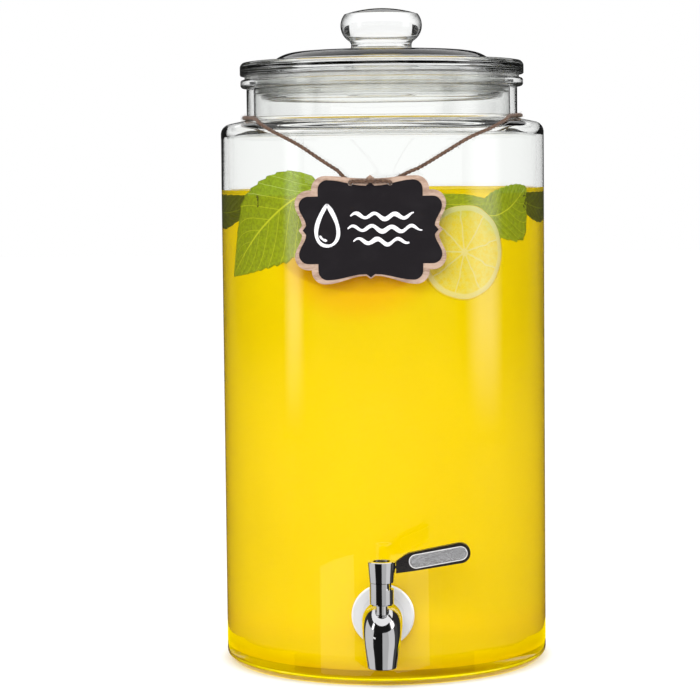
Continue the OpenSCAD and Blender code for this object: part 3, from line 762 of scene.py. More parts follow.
@dataclass(frozen=True)
class Lamp:
    """A soft panel lamp that looks at the dispenser."""

    name: str
    place: Triple
    size: tuple[float, float]
    power: float

    def build(self, aim: Vector) -> None:
        """Makes the lamp and turns it to what it lights."""
        data = bpy.data.lights.new(self.name, "AREA")
        data.shape, data.size, data.size_y, data.energy = "RECTANGLE", *self.size, self.power
        lamp = bpy.data.objects.new(self.name, data)
        lamp.location = self.place
        lamp.rotation_euler = (aim - Vector(self.place)).to_track_quat("-Z", "Y").to_euler()
        lamp.visible_camera = lamp.visible_glossy = lamp.visible_transmission = False
        bpy.context.scene.collection.objects.link(lamp)


@dataclass(frozen=True)
class Card:
    """A glowing or dark part of a ring round the tap or the set, which the camera never sees straight.

    A card shows in polished metal and in the gloss of the glass. One that is seen through shows behind
    the glass and the drink too. A flag shows only there, and fades out at its ends, foot and top. A soft
    card fades out at its ends and foot. Lengths are metres, and azimuths are degrees from the front
    towards +X.
    """

    name: str
    azimuths: Point
    distance: float
    heights: Point
    brightness: float
    colour: Triple = WHITE
    centre: float = 0.0
    inner: float = 0.012
    apron: bool = False
    soft: bool = False
    through: bool = False
    flag: bool = False
    steps: int = 8
    soft_ends: float = 0.42
    soft_foot: float = 0.06
    flag_ends: float = 0.2
    flag_foot: float = 0.26
    flag_top: Point = (0.46, 0.5)

    def level(self, g: Graph) -> object:
        """The card's brightness, with its faded ends, foot and top."""
        if not (self.flag or self.soft):
            return self.brightness
        run, up, _ = g.parts(g.place(uv=True))
        ends = g.maths("PINGPONG", run, 0.5)
        if self.soft:
            across = g.span(ends, 0.0, self.soft_ends, 0.0, self.brightness)
            return g.maths("MULTIPLY", across, g.span(up, 0.0, self.soft_foot))
        tall = g.maths("MULTIPLY", g.span(up, 0.0, self.flag_foot), g.span(up, *self.flag_top, 1, 0))
        shape = g.maths("MULTIPLY", g.span(ends, 0.0, self.flag_ends), tall)
        return g.span(shape, 0.0, 1.0, 1.0, self.brightness)

    def build(self) -> None:
        """Makes the card, and its apron that runs in over the floor if it has one."""
        start, end = self.azimuths
        verts, places, faces = [], [], []
        for i in range(self.steps + 1):
            a = math.radians(start + (end - start) * i / self.steps)
            low, high = self.heights
            for row, (r, z) in enumerate(((self.distance, low), (self.distance, high), (self.inner, low))):
                verts.append((r * math.sin(a), self.centre - r * math.cos(a), z))
                places.append((i / self.steps, row / 2))
        for i in range(0, 3 * self.steps, 3):
            faces.append((i, i + 3, i + 4, i + 1))
        if self.apron:
            faces += [(i + 2, i + 5, i + 3, i) for i in range(0, 3 * self.steps, 3)]
        card = mesh_object(self.name, verts, faces)
        unwrap(card, "run", places)
        g = Graph(self.name)
        dress(card, g.finish(g.emission(self.colour, self.level(g))))
        card.visible_camera = card.visible_diffuse = card.visible_shadow = False
        card.visible_transmission, card.visible_glossy = self.through, not self.flag


@dataclass(frozen=True)
class Floor:
    """The white floor, which keeps a faint shadow, and a painted pool of the yellow light that the drink casts
    under the jar.

    Each pair of distances from the jar's axis says where a patch of the floor starts and ends to fade.
    """

    half: float = 6.0
    under_jar: Point = (0.087, 0.0895)
    through_jar: Point = (0.12, 0.16)
    white_from: Point = (0.09, 0.1)
    white: float = 0.86
    yellow: Triple = (0.8, 0.68, 0.0)
    cast: Triple = (0.8, 0.66, 0.0)
    cast_level: float = 0.45
    glow: float = 0.76
    unlit: float = 0.55

    def build(self) -> None:
        """Makes the floor."""
        half = self.half
        corners = [(-half, -half, 0), (half, -half, 0), (half, half, 0), (-half, half, 0)]
        floor = mesh_object("floor", corners, [range(4)])
        g = Graph("floor")
        away = g.add("VectorMath", {0: g.place()}, operation="LENGTH").outputs["Value"]
        passed = g.add("LightPath").outputs["Is Transmission Ray"]
        near = g.maths("MULTIPLY", passed, g.span(away, *self.through_jar, 1, 0))
        under = g.maths("MAXIMUM", g.span(away, *self.under_jar, 1, 0), near)
        # painted light: under the jar, and round it where seen through the glass, the floor is painted yellow and
        # glows yellow
        white = (self.white,) * 3
        paint = g.add("BsdfDiffuse", {"Color": g.blend(under, white, self.yellow)}).outputs[0]
        cast = g.emission(self.cast, g.maths("MULTIPLY", under, self.cast_level))
        paint = g.add("AddShader", {0: paint, 1: cast}).outputs[0]
        lit = g.add("AddShader", {0: g.mixed(self.unlit, paint), 1: g.emission(WHITE, self.glow)}).outputs[0]
        seen = g.maths("MULTIPLY", g.in_view(), g.span(away, *self.white_from))
        seen = g.maths("MULTIPLY", seen, g.maths("SUBTRACT", 1.0, under))
        dress(floor, g.finish(g.mixed(seen, paint, lit)))


def round_the_tap(name: str, azimuths: Point, brightness: float) -> Card:
    """A card close round the tap, which draws one stripe of its polished metal."""
    return Card(name, azimuths, 0.053, (0.0008, 0.062), brightness, centre=-0.12, apron=True)


@dataclass
class Studio:
    """White floor and surround, soft lamps, and the cards that draw stripes in metal and glass."""

    ambient: float = 0.8
    bounces: int = 28
    clear_bounces: int = 24
    aim: Vector = field(default_factory=lambda: Vector((0, 0, 0.19)))
    lamps: tuple[Lamp, ...] = (
        Lamp("key", (-0.2, -1.75, 0.9), (0.9, 0.9), 24.0),
        Lamp("left_strip", (-0.98, -0.42, 0.35), (0.2, 1.2), 3.0),
        Lamp("right_strip", (1.02, -0.24, 0.35), (0.36, 1.2), 4.6),
    )
    cards: tuple[Card, ...] = (
        Card("surround_front", (-62, 62), 1.5, (0.0004, 0.262), 0.012, apron=True, inner=0.0935),
        Card("surround_top", (-62, 62), 1.5, (0.372, 1.7), 0.012),
        Card("surround_left", (-180, -62), 1.5, (0.0004, 0.9), 0.03, apron=True, inner=0.0935),
        Card("surround_right", (62, 180), 1.5, (0.0004, 0.9), 0.03, apron=True, inner=0.0935),
        Card("strip_left", (-78, -57), 1.2, (0.0005, 1.2), 2.2, centre=-0.12, soft=True),
        Card("strip_right", (62, 99), 1.2, (0.0005, 1.2), 2.4, centre=-0.12, soft=True),
        Card("flag_left", (-140, -42), 1.3, (0.0004, 0.25), 0.03, through=True, flag=True),
        Card("flag_right", (42, 140), 1.3, (0.0004, 0.25), 0.03, through=True, flag=True),
        Card("flag_top_left", (-142, -52), 1.3, (0.325, 1.3), 0.03, through=True),
        Card("flag_top_right", (52, 142), 1.3, (0.325, 1.3), 0.03, through=True),
        Card("glow_at_foot", (38, 322), 0.108, (0.0006, 0.013), 1.35, (0.85, 0.72, 0.0), through=True),
        round_the_tap("tap_black_card", (-36, 3), 0.01),
        round_the_tap("tap_grey_card", (3, 38), 0.5),
        round_the_tap("tap_white_card", (38, 76), 0.7),
        round_the_tap("tap_edge_card", (76, 100), 0.06),
        round_the_tap("tap_left_card", (-112, -50), 0.65),
        round_the_tap("tap_rim_card", (-125, -112), 0.05),
    )

    def world(self) -> None:
        """Makes the plain white surround, which lights the jar less than it shows."""
        g = Graph("surround", world=True)
        bpy.context.scene.world = g.owner
        level = g.add("MapRange", {0: g.in_view(), 3: self.ambient, 4: 1.0}).outputs[0]
        glow = g.add("Background", {"Color": WHITE, "Strength": level}).outputs[0]
        g.add("OutputWorld", {"Surface": glow})

    def build(self) -> None:
        """Makes the whole set."""
        scene = bpy.context.scene
        scene.view_settings.view_transform = "Standard"
        scene.cycles.max_bounces = scene.cycles.transmission_bounces = self.bounces
        scene.cycles.transparent_max_bounces = self.clear_bounces
        self.world()
        Floor().build()
        for lamp in self.lamps:
            lamp.build(self.aim)
        for card in self.cards:
            card.build()
        log.info("set the studio")


# ------------------------------------------------------------------ twine


@dataclass
class Twine:
    """Jute twine: a loop round the back of the jar's neck, and a stretch through the tag's two holes."""

    across: float = 2.2
    ply: float = 0.56
    pitch: float = 7.5
    tag_x: float = -4.8
    hole_z: float = 274.9
    half_pitch: float = 10.6
    hinge: Point = (-93.6, 279.4)
    board: Point = (-94.9, -97.9)
    left_reach: float = 5.0
    right_reach: float = 7.8
    neck_run: float = 79.5
    neck_z: float = 311.75
    neck_from: float = -95.0
    neck_step: float = 19.0
    neck_points: int = 10
    left_leg: tuple[Triple, ...] = (
        (-13.5, 95.4, 281.6), (-16, 94.4, 284), (-19, 93.9, 286.9), (-27, 94, 295), (-33, 94, 299.7),
        (-40, 93.8, 304.4), (-46.5, 91.2, 308.25), (-50.5, 88.2, 309.75), (-55, 85, 310.5),
        (-64, 81.4, 311.2), (-76, 79.5, 311.7),
    )
    right_leg: tuple[Triple, ...] = (
        (79, 79.5, 311.7), (66, 81.4, 311.2), (57.5, 85, 310.5), (53, 88.2, 309.75), (49, 91.2, 308.25),
        (41, 93.8, 304.2), (34.5, 94, 300.7), (29.5, 94, 297.4), (20.5, 94, 289.4), (13.6, 94.2, 283.1),
        (10.6, 94.6, 281.1),
    )

    def loop_path(self) -> list[Vector]:
        """The loop's middle line, from the tag's left side round the neck to its right side."""
        steps = range(self.neck_points)
        wrap = tuple((self.neck_from - self.neck_step * i, self.neck_run, self.neck_z) for i in steps)
        points = [at_wall(*place) for place in self.left_leg + wrap + self.right_leg]
        first = MM * Vector((self.tag_x - self.half_pitch - self.left_reach, *self.hinge))
        last = MM * Vector((self.tag_x + self.half_pitch + self.right_reach, *self.hinge))
        return smooth_path([first, *points, last], 6)

    def bridge_path(self) -> list[Vector]:
        """The middle line of the stretch in through one hole, across the tag's front and back out."""
        back, front = self.board
        strand = front - self.across / 2 - 0.1
        hinge_y, hinge_z = self.hinge
        left, right, z = self.tag_x - self.half_pitch, self.tag_x + self.half_pitch, self.hole_z
        points = [
            (left - self.left_reach, hinge_y, hinge_z), (left - 2, hinge_y, z + 1.9), (left, back + 0.2, z),
            (left, front - 0.2, z), (left + 1.8, strand, z + 0.9), (self.tag_x, strand, z + 0.9),
            (right - 1.8, strand, z + 0.9), (right, front - 0.2, z), (right, back + 0.2, z),
            (right + 3, hinge_y, z + 1.9), (right + self.right_reach, hinge_y, hinge_z),
        ]
        return smooth_path([MM * Vector(p) for p in points], 8)

    def yarn_tree(self, material: Material) -> Tree:
        """A tree that lays three twisted plies along a curve and raises loose fibres from them.

        Args:
            material: The yarn's material.

        Returns:
            The tree, with its sizes as named inputs.
        """
        tree = bpy.data.node_groups.new("twisted_yarn", "GeometryNodeTree")
        face = tree.interface
        face.new_socket("Geometry", in_out="INPUT", socket_type="NodeSocketGeometry")
        sizes = (
            ("Ply radius", 0.0005), ("Turn per metre", 800.0), ("Fibres per area", 3e5), ("Fibre length", 0.0016),
        )
        for name, value in sizes:
            face.new_socket(name, in_out="INPUT", socket_type="NodeSocketFloat").default_value = value
        face.new_socket("Seed", in_out="INPUT", socket_type="NodeSocketInt").default_value = 3
        face.new_socket("Geometry", in_out="OUTPUT", socket_type="NodeSocketGeometry")
        links, add = tree.links, partial(add_node, tree)
        given = add("NodeGroupInput").outputs
        even = add("GeometryNodeResampleCurve", {"Curve": given["Geometry"], "Length": 0.0006}, mode="LENGTH")
        run = add("GeometryNodeSplineParameter").outputs["Length"]
        turn = add("ShaderNodeMath", {0: run, 1: given["Turn per metre"]}, operation="MULTIPLY").outputs[0]
        turned = add("GeometryNodeSetCurveTilt", {"Curve": even.outputs[0], "Tilt": turn})
        ring = add("GeometryNodeCurvePrimitiveCircle", {"Resolution": 9, "Radius": given["Ply radius"]})
        joined = add("GeometryNodeJoinGeometry")
        for i in range(3):
            a = TAU * i / 3
            shift = add("ShaderNodeCombineXYZ")
            for axis, part in enumerate((math.cos(a), math.sin(a))):
                scaled = add("ShaderNodeMath", {0: given["Ply radius"], 1: part * 0.96}, operation="MULTIPLY")
                links.new(scaled.outputs[0], shift.inputs[axis])
            moved = add("GeometryNodeTransform", {"Geometry": ring.outputs[0], "Translation": shift.outputs[0]})
            links.new(moved.outputs[0], joined.inputs[0])
        inputs = {"Curve": turned.outputs[0], "Profile Curve": joined.outputs[0], "Fill Caps": True}
        plies = add("GeometryNodeCurveToMesh", inputs)
        inputs = {"Mesh": plies.outputs[0], "Density": given["Fibres per area"], "Seed": given["Seed"]}
        roots = add("GeometryNodeDistributePointsOnFaces", inputs)
        inputs = {
            "Resolution": 4, "Start": (0, 0, 0), "Start Handle": (0, 0, 0.3), "End Handle": (0.2, 0, 0.75),
            "End": (0.55, 0.1, 1),
        }
        bend = add("GeometryNodeCurvePrimitiveBezierSegment", inputs)
        hair_ring = add("GeometryNodeCurvePrimitiveCircle", {"Resolution": 3, "Radius": 0.022})
        inputs = {"Curve": bend.outputs[0], "Profile Curve": hair_ring.outputs[0], "Fill Caps": True}
        hair = add("GeometryNodeCurveToMesh", inputs)
        lean = add("FunctionNodeRandomValue", {"Seed": given["Seed"]}, data_type="FLOAT_VECTOR")
        lean.inputs[0].default_value, lean.inputs[1].default_value = (-1.2, -1.2, -3.1), (1.2, 1.2, 3.1)
        tilt = add("FunctionNodeRotateRotation", {0: roots.outputs["Rotation"]}, rotation_space="LOCAL")
        links.new(lean.outputs[0], tilt.inputs[1])
        long = add("FunctionNodeRandomValue", {"Seed": given["Seed"]}, data_type="FLOAT")
        long.inputs[2].default_value, long.inputs[3].default_value = 0.35, 1.2
        size = add("ShaderNodeMath", {0: long.outputs[1], 1: given["Fibre length"]}, operation="MULTIPLY")
        inputs = {
            "Points": roots.outputs[0], "Instance": hair.outputs[0], "Rotation": tilt.outputs[0],
            "Scale": size.outputs[0],
        }
        fuzz = add("GeometryNodeInstanceOnPoints", inputs)
        both = add("GeometryNodeJoinGeometry")
        links.new(plies.outputs[0], both.inputs[0])
        links.new(fuzz.outputs[0], both.inputs[0])
        real = add("GeometryNodeRealizeInstances", {0: both.outputs[0]})
        smooth = add("GeometryNodeSetShadeSmooth", {0: real.outputs[0]})
        last = add("GeometryNodeSetMaterial", {"Geometry": smooth.outputs[0], "Material": material})
        links.new(last.outputs[0], add("NodeGroupOutput").inputs[0])
        return tree

    def yarn(self, name: str, path: Sequence[Vector], tree: Tree, hairs: float) -> Piece:
        """Spins one piece of twine along a path.

        Args:
            name: The piece's name.
            path: Its middle line.
            tree: The yarn's tree.
            hairs: Loose fibres for each square metre of its surface.

        Returns:
            The twine as a plain mesh object.
        """
        line = bpy.data.curves.new(name + "_line", "CURVE")
        line.dimensions = "3D"
        line.twist_mode = "MINIMUM"
        spline = line.splines.new("POLY")
        spline.points.add(len(path) - 1)
        for point, place in zip(spline.points, path):
            point.co = (*place, 1.0)
        carrier = bpy.data.objects.new(name + "_line", line)
        bpy.context.scene.collection.objects.link(carrier)
        modifier = carrier.modifiers.new("yarn", "NODES")
        modifier.node_group = tree
        turn = TAU / (self.pitch * MM)
        wanted = {"Ply radius": self.ply * MM, "Turn per metre": turn, "Fibres per area": hairs}
        for item in tree.interface.items_tree:
            if item.name in wanted and item.in_out == "INPUT":
                modifier[item.identifier] = wanted[item.name]
        mesh = applied(carrier)
        mesh.name = name
        bpy.data.objects.remove(carrier)
        piece = bpy.data.objects.new(name, mesh)
        bpy.context.scene.collection.objects.link(piece)
        return piece

    def build(self) -> None:
        material = Jute().build()
        tree = self.yarn_tree(material)
        runs = (
            ("twine_round_neck", Body.JAR, self.loop_path(), "twine_loop", 2.2e5),
            ("twine_on_tag", Body.TAG, self.bridge_path(), "twine_bridge", 1.3e6),
        )
        for name, body, path, node, hairs in runs:
            piece = self.yarn(name, path, tree, hairs)
            stand_for(piece, body, "jute", material, node)


# ------------------------------------------------------------------ glass and drink


@dataclass
class Jar:
    """The pressed glass jar: straight body, rounded shoulder, neck with its bead, and a thick floor."""

    body_r: float = 92.5
    inner_r: float = 88.5
    wall: float = 4.0
    floor: float = 7.5
    shoulder_r: float = 6.0
    wall_top: float = 302.3
    slope: float = 12.0
    neck_r: float = 77.5
    bore_r: float = 72.5
    rim: float = 333.2
    bead_out: float = 3.4
    tap_z: float = 40.0
    hole_r: float = 8.4

    def outline(self) -> list[Point]:
        """The glass's section, from the middle of its underside round to the middle of its floor."""
        foot = self.body_r - 6
        lean = math.radians(self.slope)
        slope = math.tan(lean)
        shoulder_x, inner_r = self.body_r - self.shoulder_r, self.shoulder_r - self.wall / 2
        inner_x, inner_top = self.inner_r - inner_r, self.wall_top - self.wall / 2
        neck_z = self.wall_top + self.shoulder_r * math.cos(lean)
        neck_z += (shoulder_x + self.shoulder_r * math.sin(lean) - self.neck_r) * slope
        inner_neck_z = inner_top + inner_r * math.cos(lean)
        inner_neck_z += (inner_x + inner_r * math.sin(lean) - self.bore_r) * slope
        bead = self.neck_r + self.bead_out
        ramp = (self.neck_r + 1.5, neck_z - 1.5 * slope)
        inner_ramp = (self.bore_r + 1.5, inner_neck_z - 1.5 * slope)
        return supported(
            [(0, 2.2), (75.3, 2.2), (76.9, 0.5), (77.8, 0)]
            + arc(foot, 6, 6, -90, 0, 24)
            + arc(shoulder_x, self.wall_top, self.shoulder_r, 0, 90 - self.slope, 20)
            + [ramp, (self.neck_r + 0.45, neck_z + 0.1), (self.neck_r, neck_z + 1.2)]
            + [(self.neck_r, self.rim - 5.4), (self.neck_r + 0.5, self.rim - 4.9)]
            + arc(bead - 1.8, self.rim - 3.0, 1.8, -80, 0, 10)
            + arc(bead - 1.4, self.rim - 1.4, 1.4, 0, 90, 10)
            + [(self.bore_r + 0.8, self.rim), (self.bore_r + 0.2, self.rim - 0.4), (self.bore_r, self.rim - 1.2)]
            + [(self.bore_r, inner_neck_z + 1.5), (self.bore_r + 0.5, inner_neck_z + 0.2), inner_ramp]
            + arc(inner_x, inner_top, inner_r, 90 - self.slope, 0, 14)
            + arc(79.5, 16.5, 9, 0, -90, 20)
            + [(0, self.floor)]
        )

    def bore_hole(self, jar: Piece) -> Piece:
        """Cuts the hole that the tap's shank goes through.

        Args:
            jar: The jar without its hole.

        Returns:
            The jar with its hole.
        """
        heights = [self.inner_r - 8, self.body_r + 8]
        path = [MM * Vector((0, -y, self.tap_z)) for y in heights]
        cutter = tube("hole_cutter", path, [self.hole_r * MM] * 2, 64, X_AXIS)
        cut = jar.modifiers.new("hole", "BOOLEAN")
        cut.operation, cut.solver, cut.object = "DIFFERENCE", "EXACT", cutter
        mesh = applied(jar)
        jar.modifiers.clear()
        jar.data = mesh
        bpy.data.objects.remove(cutter)
        return jar

    def build(self) -> None:
        """Makes the jar."""
        jar = self.bore_hole(lathe("jar_glass", self.outline()))
        stand_for(jar, Body.JAR, "clear_glass", ClearGlass().build(), "jar", "jar_neck")


@dataclass
class Lid:
    """The pressed glass lid: plug, flange, low dome and round knob."""

    dome_r: float = 61.5
    dome_foot: float = 344.2
    dome_rise: float = 5.2
    fullness: float = 10.0
    flange_z: float = 335.3
    lid_r: float = 81.2
    plug_r: float = 69.5
    wall: float = 5.0
    knob_mid: Point = (13.0, 363.7)
    knob_side: float = 10.3
    knob_top: float = 373.5
    knob_neck: float = 17.3

    def dome(self, share: float, drop: float = 0.0) -> Point:
        """A point of the dome's outside at a share of its radius, or of its inside, a drop below."""
        return (share * self.dome_r, self.dome_foot + self.dome_rise * (1 - share**self.fullness) - drop)

    def outline(self) -> list[Point]:
        """The lid's section, from the knob's top down its outside and back up inside."""
        (mid_x, mid_z), side = self.knob_mid, self.knob_side
        edge_x, edge_z = arc(mid_x, mid_z, side, 39, 39, 1)[0]
        crown = self.knob_top - edge_z
        crown_r = (edge_x**2 + crown**2) / (2 * crown)
        crown_angle = math.degrees(math.asin(edge_x / crown_r))
        foot_z = mid_z - side * math.sin(math.radians(60))
        top_z, neck = self.dome_foot + self.dome_rise, self.knob_neck
        over = arc(0, self.knob_top - crown_r, crown_r, 90, 90 - crown_angle, 14)
        top = [(0.0, self.knob_top)] + over[1:]
        plug_z = self.flange_z - 14
        steps = [0.34, 0.42, 0.5, 0.58, 0.65, 0.71, 0.76, 0.8, 0.84, 0.87, 0.9, 0.925, 0.95, 0.968, 0.985, 1.0]
        inside = [0.96, 0.92, 0.88, 0.82, 0.76, 0.68, 0.6, 0.5, 0.4, 0.25, 0.12]
        return supported(
            top[:-1]
            + arc(mid_x, mid_z, side, 39, -60, 32)
            + [(neck + 0.25, foot_z - 1.0), (neck, foot_z - 1.8)]
            + [(neck + 0.15, top_z + 1.6), (neck + 0.4, top_z + 0.5)]
            + [self.dome((neck + 1.6) / self.dome_r)]
            + [self.dome(s) for s in steps]
            + [(self.dome_r + 1, self.dome_foot - 0.2), (self.lid_r - 4.6, self.flange_z + 8.1)]
            + arc(self.lid_r - 3.4, self.flange_z + 4.6, 3.4, 65, 5, 14)
            + arc(self.lid_r - 1, self.flange_z + 1, 1, 0, -90, 8)
            + [(self.plug_r, self.flange_z), (self.plug_r, plug_z + 2.5)]
            + arc(self.plug_r - 2.5, plug_z + 2.5, 2.5, 0, -180, 20)
            + [(self.plug_r - self.wall, self.flange_z + 1)]
            + arc(self.plug_r - self.wall - 4, self.flange_z + 1, 4, 0, 70, 10)
            + [self.dome(s, self.wall) for s in inside]
            + [(0, top_z - self.wall)]
        )

    def build(self) -> None:
        """Makes the lid."""
        # the lid's glass has painted shade at grazing angles, almost black at the knob's edges
        glass = ClearGlass("pressed_lid_glass", (0.98, 0.99, 0.985), 0.0006, 0.5, 0.03).build()
        stand_for(lathe("lid_glass", self.outline()), Body.LID, "lid_glass", glass, "lid")


@dataclass
class Drink:
    """Lemonade that fills the jar to below the tag's top, with a meniscus at the glass."""

    level: float = 268.6
    radius: float = 88.5
    bite: float = 0.15

    def build(self) -> None:
        """Makes the drink, which reaches a hair into the glass so that no air shows between them."""
        edge = self.radius + self.bite
        profile = supported(
            [(0, 7.5 - self.bite)]
            + arc(79.5, 16.5, 9 + self.bite, -90, 0, 20)
            + [(edge, self.level + 2.2), (edge - 0.35, self.level + 1.9)]
            + [(edge - d, self.level + 1.9 * math.exp(-d / 1.1)) for d in (0.8, 1.3, 1.9, 2.6, 3.5, 5.0)]
            + [(0, self.level)]
        )
        drink = lathe("lemonade", profile)
        stand_for(drink, Body.JAR, "clear_glass", Lemonade().build())


# ------------------------------------------------------------------ fruit and leaves

CLING_R = 88.9  # millimetres: a hair inside the glass, so that no drink shows before a leaf


def clinging(*places: Point) -> tuple[Triple, ...]:
    """Places on the wall, given as azimuth and height, with the radius at which leaves cling to it."""
    return tuple((azimuth, CLING_R, z) for azimuth, z in places)


@dataclass(frozen=True)
class SliceFlesh:
    """A cut face of lemon: wedges of pulp between pale walls, inside a ring of pith and peel."""

    name: str = "lemon_slice"
    wedges: int = 9

    def build(self) -> Material:
        """Makes the material."""
        g = Graph(self.name)
        across, up, _ = g.parts(g.place(uv=True))
        away = g.length(across, up)
        angle = g.maths("ARCTAN2", up, across)
        wobble = g.maths("MULTIPLY", g.noise(2.5, 2, g.place(uv=True)), 0.25)
        turn = g.maths("MULTIPLY", g.maths("ADD", angle, wobble), self.wedges / TAU)
        wedge = g.maths("PINGPONG", turn, 0.5)
        wall = g.maths("MULTIPLY", wedge, away)
        pulp_lines = g.noise(9, 5, g.place(uv=True), 0.7)
        pulp = g.blend(g.span(pulp_lines, 0.35, 0.65), (1.0, 0.86, 0.05), (1.0, 0.93, 0.2))
        walls = g.span(wall, 0.008, 0.035, 1, 0)
        core = g.span(away, 0.05, 0.11, 1, 0)
        pith = g.span(away, 0.83, 0.87)
        pale = g.maths("MAXIMUM", g.maths("MAXIMUM", walls, core), pith)
        tone = g.blend(pale, pulp, (1.0, 0.95, 0.42))
        tone = g.blend(g.span(away, 0.945, 0.965), tone, (0.97, 0.8, 0.04))
        height = g.maths("ADD", pale, g.maths("MULTIPLY", pulp_lines, 0.6))
        skin = g.principled(Base_Color=tone, Roughness=0.3, Normal=g.bump(height, 0.0001))
        return g.thin(skin, tone, 0.45)


@dataclass
class LemonSlice:
    """A round slice of lemon that clings to the front of the jar."""

    middle: Triple = (30.5, 89.0, 236.6)
    radius: float = 26.7
    thick: float = 5.0
    spin: float = 0.3

    def build(self) -> None:
        """Makes the slice."""
        azimuth, wall, height = self.middle
        around, half, r = 96, self.thick / 2, self.radius
        section = (
            [(0.0, half)]
            + [(r * s, half) for s in (0.12, 0.3, 0.5, 0.68, 0.82)]
            + [(r - 1.2, half), (r - 0.35, half - 0.4), (r, half - 1.4)]
            + [(r, 1.4 - half), (r - 0.35, 0.4 - half), (r - 1.2, -half)]
            + [(r * s, -half) for s in (0.82, 0.5, 0.2)]
            + [(0.0, -half)]
        )
        verts, flat = [], []
        for d, depth in section:
            for k in range(around):
                a = TAU * k / around
                wave = 1 + 0.006 * math.sin(9 * (a + self.spin))
                turn = math.degrees(d * wave * math.cos(a) / wall)
                verts.append(at_wall(azimuth + turn, wall - half + depth, height + d * wave * math.sin(a)))
                flat.append((d / r * math.cos(a + self.spin), d / r * math.sin(a + self.spin)))
        piece = mesh_object("lemon_slice", verts, ring_faces(len(section), around))
        unwrap(piece, "face", flat)
        outward(piece)
        stand_for(piece, Body.JAR, "clear_glass", SliceFlesh().build())


@dataclass
class WholeLemon:
    """A whole lemon that floats deeper in the drink."""

    middle: Triple = (-17.0, -44.0, 243.0)
    radius: float = 29.0

    def build(self) -> None:
        """Makes the lemon, with its blunt nipples and dimpled peel."""
        axis = Vector((0.93, 0.25, -0.26)).normalized()
        start = MM * Vector(self.middle) - axis * (self.radius * 1.32 * MM)
        path, radii = [], []
        steps = 48
        for i in range(steps + 1):
            t = i / steps
            bulge = math.sin(math.pi * t) ** 0.62
            nipple = 0.1 * (math.exp(-((t - 0.02) / 0.035) ** 2) + math.exp(-((t - 0.985) / 0.03) ** 2))
            path.append(start + axis * (2.64 * self.radius * MM * (0.5 - 0.5 * math.cos(math.pi * t))))
            radii.append(max(0.0004, self.radius * MM * (0.97 * bulge + nipple * 0.9)))
        lemon = tube("whole_lemon", path, radii, 64, Vector((0, 0, 1)))
        peel = Fruit("lemon_peel", (0.9, 0.4, 0.0), (0.93, 0.5, 0.0), 420, 0.0006, 0.15).build()
        stand_for(lemon, Body.JAR, "clear_glass", peel)


class Green(Enum):
    """The leaves' own green, and a darker copy of it that paints shade on the leaves at the jar's sides and
    behind.
    """

    FRESH = ((0.42, 0.56, 0.02), (0.72, 0.82, 0.2))
    # the fresh green made darker: painted shade
    DEEP = ((0.15, 0.18, 0.003), (0.28, 0.34, 0.015))


@dataclass
class Leaf:
    """A mint leaf between two edges, each given from its stalk to its tip as azimuth, radius and height."""

    name: str
    tone: Green
    left: tuple[Triple, ...]
    rib: tuple[Triple, ...]
    right: tuple[Triple, ...]
    teeth: int = 13
    rows: int = 66
    columns: int = 16
    thick: float = 0.0004

    def rail(self, points: Sequence[Triple]) -> list[Vector]:
        """A smooth line of a set number of points through a few places on the wall."""
        curve = smooth_path([at_wall(*p) for p in points], 24)
        runs = [0.0]
        for a, b in zip(curve, curve[1:]):
            runs.append(runs[-1] + (b - a).length)
        marks = np.interp(np.linspace(0, runs[-1], self.rows + 1), runs, np.arange(len(runs)))
        out = []
        for m in marks:
            i = min(int(m), len(curve) - 2)
            out.append(curve[i].lerp(curve[i + 1], m - i))
        return out

    def build(self, material: Material) -> None:
        """Makes the leaf as a thin closed sheet, toothed along its edges and puffed between its veins."""
        left, rib, right = self.rail(self.left), self.rail(self.rib), self.rail(self.right)
        verts, flat = [], []
        n = 2 * self.columns
        for i in range(self.rows + 1):
            u = i / self.rows
            tooth = 1 + 0.07 * ((u * self.teeth) % 1.0 - 0.5) * math.sin(math.pi * u) ** 0.5
            for j in range(n + 1):
                v = j / self.columns - 1
                edge = left[i] if v < 0 else right[i]
                share = abs(v) * (1 + (tooth - 1) * abs(v) ** 6)
                p = rib[i].lerp(edge, share)
                reach = rib[i].xy.length * (1 - share) + edge.xy.length * share
                p.xy *= reach / p.xy.length
                inward = Vector((-p.x, -p.y, 0)).normalized()
                puff = 0.1 * math.sin((u - 0.5 * abs(v)) * 9 * math.pi) * abs(v) * (1 - v * v)
                p = p + inward * (MM * puff)
                verts.append(p)
                flat.append((u, j / n))
        top = len(verts)
        verts += [p + Vector((-p.x, -p.y, 0)).normalized() * self.thick for p in verts]
        faces = []
        wide = n + 1
        for i in range(self.rows):
            for j in range(n):
                a, b, c, d = i * wide + j, i * wide + j + 1, (i + 1) * wide + j + 1, (i + 1) * wide + j
                faces += [(a, b, c, d), (top + d, top + c, top + b, top + a)]
        rim = list(range(n)) + [i * wide + n for i in range(self.rows)]
        rim += [self.rows * wide + j for j in range(n, 0, -1)] + [i * wide for i in range(self.rows, 0, -1)]
        for a, b in zip(rim, rim[1:] + rim[:1]):
            faces.append((b, a, top + a, top + b))
        piece = mesh_object(self.name, verts, faces)
        unwrap(piece, "blade", flat + flat)
        outward(piece)
        stand_for(piece, Body.JAR, "clear_glass", material)


